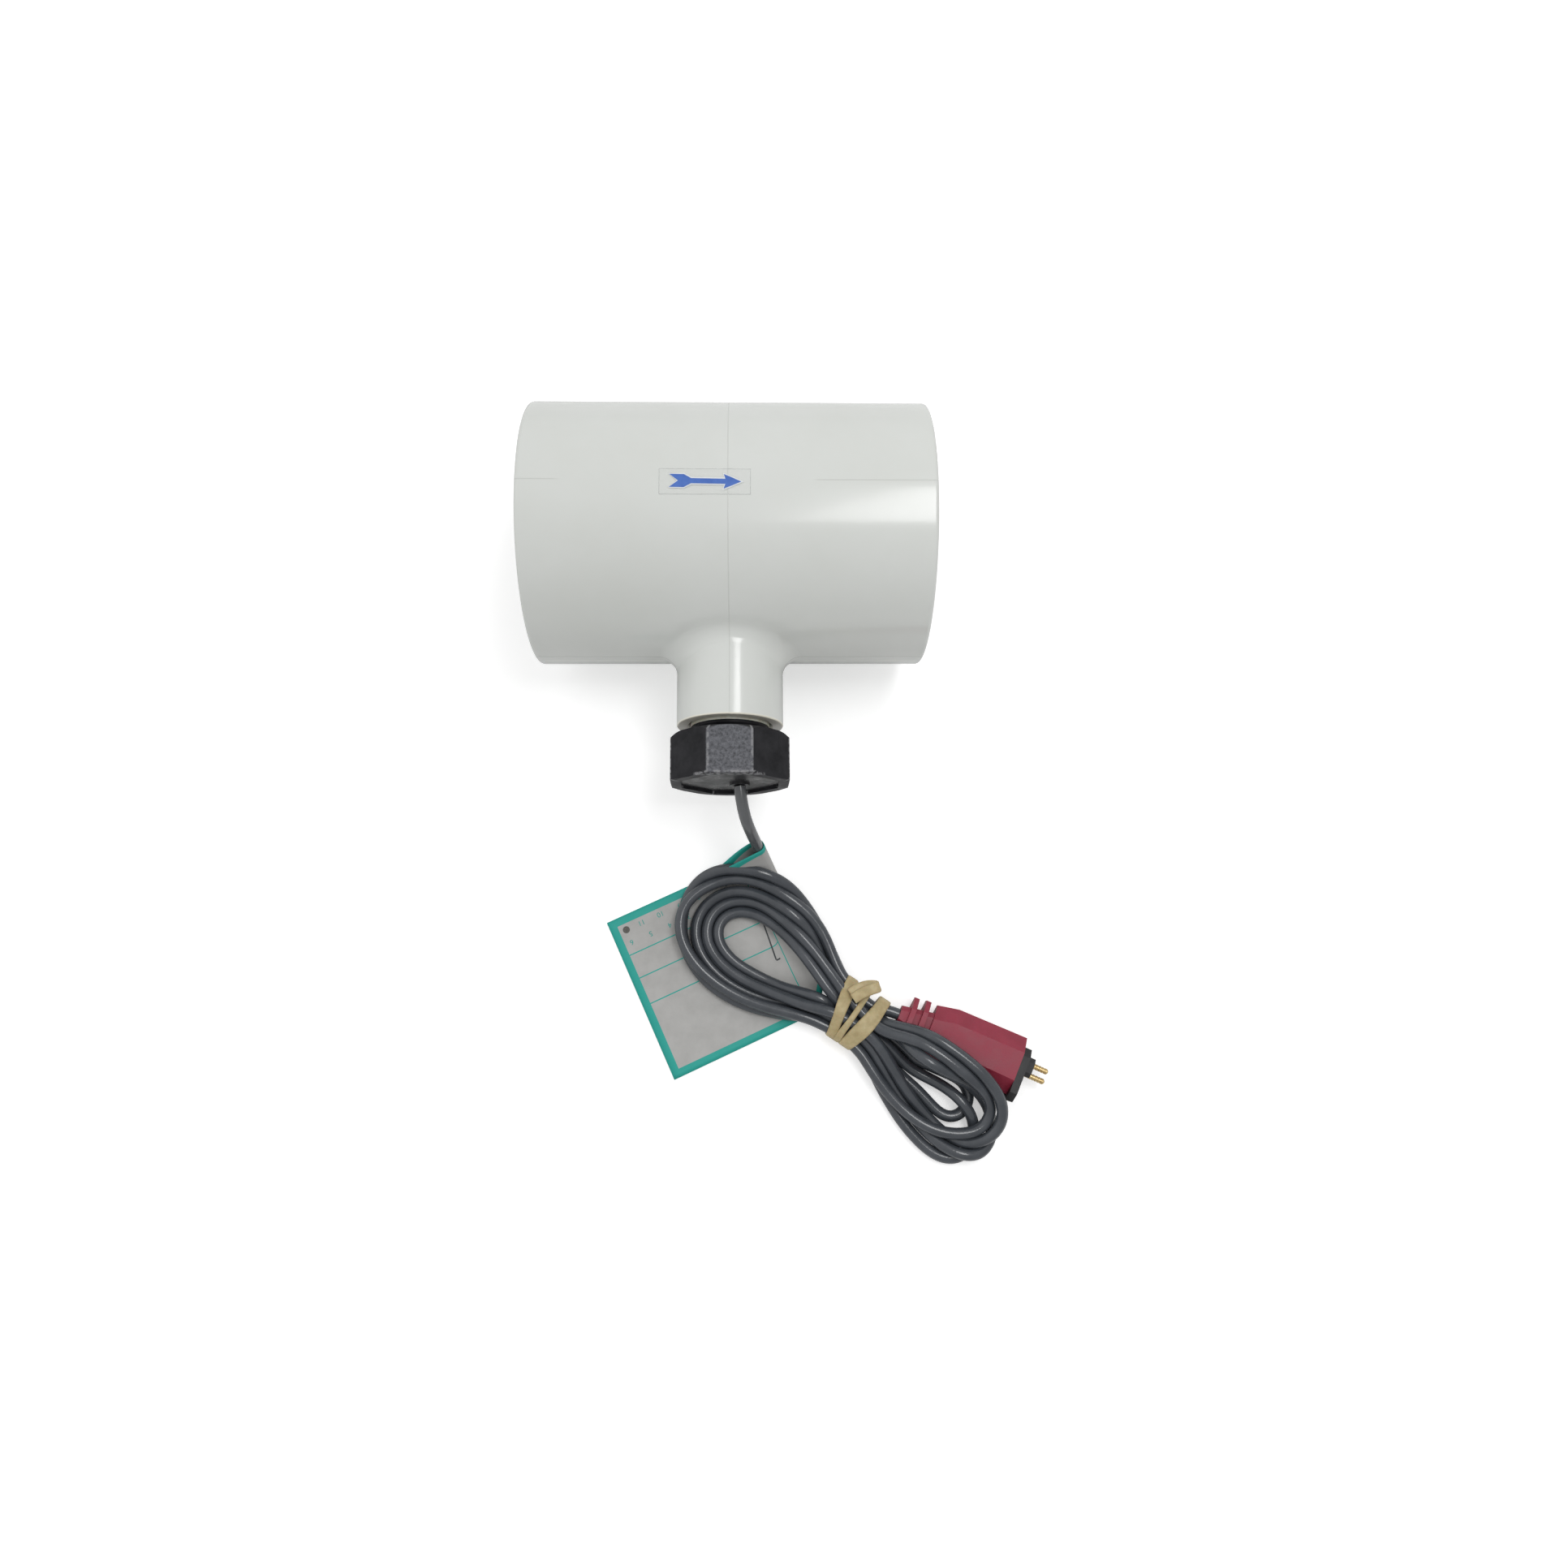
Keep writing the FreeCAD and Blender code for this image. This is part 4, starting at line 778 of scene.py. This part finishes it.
# The ear's spine in millimetres: across the hank, along it, and up from the wraps
EAR = [
    (4.2, -4.4, 0.2),
    (6.6, -3.4, 0.4),
    (8.8, -1.6, 0.2),
    (10.0, 0.4, 0.1),
    (10.2, 1.2, 1.0),
    (9.4, 0.6, 1.7),
    (7.4, -1.0, 1.6),
    (5.4, -2.2, 1.2),
    (3.4, -3.0, 0.9),
]
EAR_WIDTH = 0.0030


def band_outline(grow, count=72):
    """The loop a tight band makes round the bundle, as evenly spaced points across and up."""
    passes = [Vector(place) * MM for place in RIGHT_PASSES + LEFT_PASSES]
    loop = []
    for step in range(360):
        out = Vector((math.cos(math.radians(step)), math.sin(math.radians(step))))
        far = max(passes, key=lambda place: place.dot(out))
        loop.append(np.array(far + out * (CORD_DIA / 2 + grow)))
    loop = np.array(loop + loop[:1])
    length = np.append(0, np.cumsum(np.linalg.norm(np.diff(loop, axis=0), axis=1)))
    stops = np.linspace(0, length[-1], count, endpoint=False)
    return np.column_stack([np.interp(stops, length, loop[:, axis]) for axis in range(2)])


def ribbon(build, spine, sides, wide, thick, closed=True):
    """A flat band with softened edges: spine points, unit vectors across it, and its width at each point."""
    count = len(spine)
    rings = []
    for index in range(count):
        ahead = spine[(index + 1) % count] if closed or index + 1 < count else spine[index]
        behind = spine[index - 1] if closed or index else spine[index]
        tangent = (ahead - behind) / np.linalg.norm(ahead - behind)
        side = sides[index] - tangent * np.dot(sides[index], tangent)
        side /= np.linalg.norm(side)
        normal = np.cross(tangent, side)
        half, deep = wide[index] / 2, thick / 2
        profile = [(half, 0), (half - deep * 0.3, deep * 0.7), (half - deep, deep), (0, deep * 1.04)]
        profile += [(deep - half, deep), (deep * 0.3 - half, deep * 0.7), (-half, 0)]
        profile += [(across, -up) for across, up in reversed(profile[1:-1])]
        ring = [spine[index] + side * across + normal * up for across, up in profile]
        rings.append([build.verts.new(point) for point in ring])
    for index in range(count if closed else count - 1):
        one, other = rings[index], rings[(index + 1) % count]
        for corner in range(len(one)):
            following = (corner + 1) % len(one)
            build.faces.new((one[corner], one[following], other[following], other[corner]))
    if not closed:
        build.faces.new(rings[0])
        build.faces.new(rings[-1][::-1])


def make_wraps(build):
    """Three wraps, wider apart on the far side than where they are twisted."""
    along, across = heading(WAIST_HEADING)
    loop = band_outline(BAND_THICK / 2 + BAND_SLACK)
    count = len(loop)
    angle = np.arange(count) / count * 2 * math.pi
    spread = 1 + BAND_FAN * loop[:, 0] / loop[:, 0].max()
    bow = BAND_BULGE * (1 - (loop[:, 0] / np.abs(loop[:, 0]).max()) ** 2)
    for number, (wide, shift) in enumerate(zip(BAND_WIDTHS, BAND_SHIFTS)):
        aside = shift * spread + BAND_UNEVEN * np.sin(angle + number * 1.7) + (number - 1) * bow
        flat = WAIST + np.outer(loop[:, 0], across) + np.outer(aside, along)
        lift = BAND_CROSSING * (number == 1)
        height = np.maximum(loop[:, 1] + lift, BAND_THICK / 2)
        spine = np.column_stack([flat[:, 0], flat[:, 1] + run_middle.y, height])
        sides = np.tile((*along, 0.0), (count, 1))
        widths = wide * (1 + 0.12 * np.sin(2 * angle + number * 2.1))
        ribbon(build, spine, sides, widths, BAND_THICK)
    return loop[:, 1].max()


def make_ear(build, top):
    """The end of the band, folded back on itself."""
    along, across = heading(WAIST_HEADING)
    places = [WAIST + (across * out + along * aside) * MM for out, aside, _ in EAR]
    rough = np.array([(*place, top + point[2] * MM) for place, point in zip(places, EAR)])
    rough += (0, run_middle.y, 0)
    finer = np.linspace(0, len(EAR) - 1, 41)
    spine = np.column_stack([np.interp(finer, np.arange(len(EAR)), rough[:, axis]) for axis in range(3)])
    for _ in range(6):
        spine[1:-1] = (spine[2:] + spine[:-2] + 2 * spine[1:-1]) / 4
    lean = np.array((*(along * 0.8 - across * 0.6), 0.0))
    sides, widths = np.tile(lean, (len(spine), 1)), np.full(len(spine), EAR_WIDTH)
    ribbon(build, spine, sides, widths, BAND_THICK, closed=False)


def smooth_piece(name, build):
    """Turns a bmesh into a smooth-shaded piece that rides on the tee."""
    mesh = bpy.data.meshes.new(name)
    build.to_mesh(mesh)
    build.free()
    for face in mesh.polygons:
        face.use_smooth = True
    piece = in_scene(name, mesh)
    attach(piece, "root")
    return piece


def make_band():
    build = bmesh.new()
    make_ear(build, make_wraps(build))
    bmesh.ops.recalc_face_normals(build, faces=build.faces[:])
    band = smooth_piece("hank_band", build)
    rubber = finish("band rubber", (0.500, 0.410, 0.225), (0.395, 0.310, 0.155), 0.44, change=0.16,
                    patches=420, grain=2600, depth=0.00006,
                    plain={"Subsurface Weight": 0.12, "Subsurface Scale": 0.0015})
    band.data.materials.append(rubber)
    return band


band = make_band()
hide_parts("rubber_band")

# ---------------------------------------------------------------- label
# A square self-adhesive label folded double round the cord. It lies flat on the table, and the cord lifts its
# inner upper corner. Bordered, ruled paper with month numbers in two rows, and a dot in the twelfth's place.

LABEL_THICK = 0.00016
LABEL_TOP_CORD = 0.0245      # how far along the cord the label's upper edge is
LABEL_GRIP = 0.00182      # radius of its fold round the cord
TOP_LAYER, UNDER_LAYER = 0.00042, 0.00014      # heights of the two layers where they lie flat
LABEL_FACE = 0.00053      # just over the top layer
LABEL_LOWEST = 0.0001      # the least height over the table


def plain_mesh(thing):
    """The mesh of a curve or text as it is seen."""
    return bpy.data.meshes.new_from_object(thing.evaluated_get(bpy.context.evaluated_depsgraph_get()))


def path_of(curve_object):
    """Evenly sampled points along a curve's line, read from the curve without its thickness."""
    line = curve_object.copy()
    line.data = curve_object.data.copy()
    line.data.bevel_depth = 0
    line.data.resolution_u = 12
    bpy.context.scene.collection.objects.link(line)
    mesh = plain_mesh(line)
    points = np.array([vert.co for vert in mesh.vertices])
    bpy.data.objects.remove(line)
    bpy.data.meshes.remove(mesh)
    return points


cord_line = path_of(cord)
cord_reach = np.append(0, np.cumsum(np.linalg.norm(np.diff(cord_line, axis=0), axis=1)))


def on_cord(distance):
    """A point on the cord's line that far from the head, and the way the cord runs there."""
    place = np.array([np.interp(distance, cord_reach, cord_line[:, axis]) for axis in range(3)])
    further = np.array([np.interp(distance + 0.0005, cord_reach, cord_line[:, axis]) for axis in range(3)])
    return place, (further - place) / np.linalg.norm(further - place)


def bend_between(start, start_way, end, end_way, count):
    """Points of a smooth bend between two places, without its first."""
    reach = np.linalg.norm(end - start)
    steps = np.linspace(0, 1, count + 1)[1:, None]
    held = start * (2 * steps**3 - 3 * steps**2 + 1) + end * (3 * steps**2 - 2 * steps**3)
    turned = start_way * (steps**3 - 2 * steps**2 + steps) + end_way * (steps**3 - steps**2)
    return held + turned * reach


def label_row(share):
    """One row of the label: in from its free edge, round the cord, and back underneath."""
    across, up_left = heading(LABEL_TURN)
    across, down = np.array((*across, 0)), np.array((*-up_left, 0))
    free = np.array((*LABEL_CORNER, 0)) + (0, run_middle.y, 0) + down * LABEL_SIDE * share
    centre, way = on_cord(LABEL_TOP_CORD + LABEL_SIDE * share)
    inward = across - way * across.dot(way)
    inward /= np.linalg.norm(inward)
    face = np.cross(way, inward)
    level = (centre - free).dot(across)
    flat_end = level - fold_run(centre[2])
    top, under = np.array((0, 0, TOP_LAYER)), np.array((0, 0, UNDER_LAYER))
    row = [free + across * step + top for step in np.linspace(0, flat_end, 22)]
    row += list(bend_between(row[-1], across, centre + face * LABEL_GRIP, inward, 10))
    for angle in np.linspace(0, math.pi, 9)[1:]:
        row.append(centre + LABEL_GRIP * (face * math.cos(angle) + inward * math.sin(angle)))
    back = free + across * flat_end + under
    row += list(bend_between(row[-1], -inward, back, -across, 10))
    row += [free + across * step + under for step in np.linspace(flat_end, 0, 22)[1:]]
    return [np.array((*point[:2], max(point[2], LABEL_LOWEST))) for point in row]


def make_label():
    rows = [label_row(share) for share in np.linspace(0, 1, 41)]
    build = bmesh.new()
    layer = build.loops.layers.uv.new("print")
    verts = [[build.verts.new(point) for point in row] for row in rows]
    marks = {}
    for number, row in enumerate(rows):
        length = np.append(0, np.cumsum(np.linalg.norm(np.diff(row, axis=0), axis=1)))
        for vert, reach in zip(verts[number], length):
            marks[vert] = (reach / LABEL_SIDE, number / (len(rows) - 1))
    for one, other in zip(verts, verts[1:]):
        for step in range(len(one) - 1):
            face = build.faces.new((one[step], other[step], other[step + 1], one[step + 1]))
            for loop in face.loops:
                loop[layer].uv = marks[loop.vert]
    return smooth_piece("label_sheet", build)


# Where the print is, in millimetres: in from the free edge, or down from the upper edge
BORDER = 2.3
RULES = (11.2, 18.2, 26.0)
POST = 42.5      # the line down the label, where the rules end
RULE_HALF, PEN_HALF = 0.17, 0.22
SOFT = 0.05


def make_paper():
    """Off-white paper with a teal border on its free sides, thin rules, a line down it and a pen mark."""
    material = finish("label paper", (0.440, 0.436, 0.424), (0.400, 0.396, 0.384), 0.55, patches=260,
                      grain=3800, depth=0.00003)
    tree = material.node_tree
    place = shader_node(tree, "UVMap", {"uv_map": "print"})
    split = shader_node(tree, "SeparateXYZ")
    link(tree, place, "UV", split, "Vector")
    side = LABEL_SIDE / MM
    inward = calculate(tree, "MULTIPLY", split.outputs["X"], side)
    down = calculate(tree, "MULTIPLY", split.outputs["Y"], side)

    def line(value, middle, half):
        return ramp(tree, distance_from(tree, value, middle), half + SOFT, half - SOFT)

    end = calculate(tree, "MINIMUM", down, calculate(tree, "SUBTRACT", side, down))
    ink = ramp(tree, calculate(tree, "MINIMUM", inward, end), BORDER + SOFT, BORDER - SOFT)
    before_post = ramp(tree, inward, POST + 0.1, POST)
    for rule in RULES:
        ruled = calculate(tree, "MULTIPLY", line(down, rule, RULE_HALF), before_post)
        ink = calculate(tree, "MAXIMUM", ink, ruled)
    ink = calculate(tree, "MAXIMUM", ink, line(inward, POST, RULE_HALF))
    tint(material, ink, (0.016, 0.360, 0.305))
    # The pen's slanting stroke, with a short hook at its lower end
    slant = calculate(tree, "MULTIPLY_ADD", down, 0.093, inward)
    stroke = calculate(tree, "MULTIPLY", line(slant, 42.46, PEN_HALF), line(down, 23.25, 6.45))
    hook = calculate(tree, "MULTIPLY", line(down, 29.9, PEN_HALF), line(inward, 40.3, 0.65))
    tint(material, calculate(tree, "MAXIMUM", stroke, hook), (0.035, 0.040, 0.045))
    return material


def on_label(x, y):
    """Where a mark that far in from the free edge and down from the upper edge lies, on the flat part."""
    across, up_left = heading(LABEL_TURN)
    flat = LABEL_CORNER + across * x * MM - up_left * y * MM
    return Vector((flat[0], flat[1] + run_middle.y, LABEL_FACE))


def make_numbers():
    """The months in two rows, printed upside down as seen from the cord."""
    build = bmesh.new()
    turn = Matrix.Rotation(math.radians(LABEL_TURN + 180), 4, "Z")
    upper_row, lower_row, between = 4.0, 8.0, 5.9
    months = [(number, 9.0 + between * step, upper_row) for step, number in enumerate((11, 10, 9, 8, 7))]
    months += [(number, 4.3 + between * step, lower_row) for step, number in enumerate((6, 5, 4, 3, 2, 1))]
    for number, x, y in months:
        text = bpy.data.curves.new("month", "FONT")
        text.body = str(number)
        text.size = 0.0021
        text.align_x, text.align_y = "CENTER", "CENTER"
        holder = in_scene("month", text)
        outline = plain_mesh(holder)
        outline.transform(Matrix.Translation(on_label(x, y)) @ turn)
        build.from_mesh(outline)
        bpy.data.objects.remove(holder)
        bpy.data.curves.remove(text)
        bpy.data.meshes.remove(outline)
    ink = finish("teal ink", (0.020, 0.300, 0.260), (0.030, 0.370, 0.320), 0.5, patches=900, grain=4000,
                 depth=0.000004)
    return flat_mark("label_numbers", build, ink)


def make_dot():
    """The pen's dot over the month of making."""
    build = bmesh.new()
    place = Matrix.Translation(on_label(4.3, 4.1) + Vector((0, 0, 0.00002)))
    bmesh.ops.create_circle(build, cap_ends=True, segments=28, radius=0.0010, matrix=place)
    ink = finish("pen ink", (0.110, 0.100, 0.085), (0.050, 0.050, 0.048), 0.4, patches=1400, grain=4000,
                 depth=0.000004)
    return flat_mark("label_dot", build, ink)


label = make_label()
label.data.materials.append(make_paper())
label_marks = [make_numbers(), make_dot()]
thicken = label.modifiers.new("thickness", "SOLIDIFY")
thicken.thickness = LABEL_THICK
thicken.offset = 0
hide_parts("cord_label")

# ---------------------------------------------------------------- plug
# Two-pin crimp housing moulded in crimson plastic, with its black insert and two ridged gold-plated pins.
# The cord goes into its rear through the strain relief.

crimson = finish("crimson moulded plastic", (0.255, 0.018, 0.042), (0.300, 0.026, 0.054), 0.40, change=0.14,
                 patches=220, grain=2600, depth=0.00003,
                 plain={"Subsurface Weight": 0.08, "Subsurface Scale": 0.001})
black_insert = finish("black plug insert", (0.010, 0.010, 0.011), (0.022, 0.022, 0.024), 0.42, change=0.14,
                      patches=300, grain=3000, depth=0.00003)
gold = finish("gold plate", (0.70, 0.53, 0.27), (0.52, 0.38, 0.18), 0.24, change=0.16, patches=700,
              grain=4000, depth=0.00001, plain={"Metallic": 1.0})
dress("plug_body", crimson)
dress("plug_insert", black_insert)
dress("contact_pin_upper", gold)
dress("contact_pin_lower", gold)

bpy.context.view_layer.update()
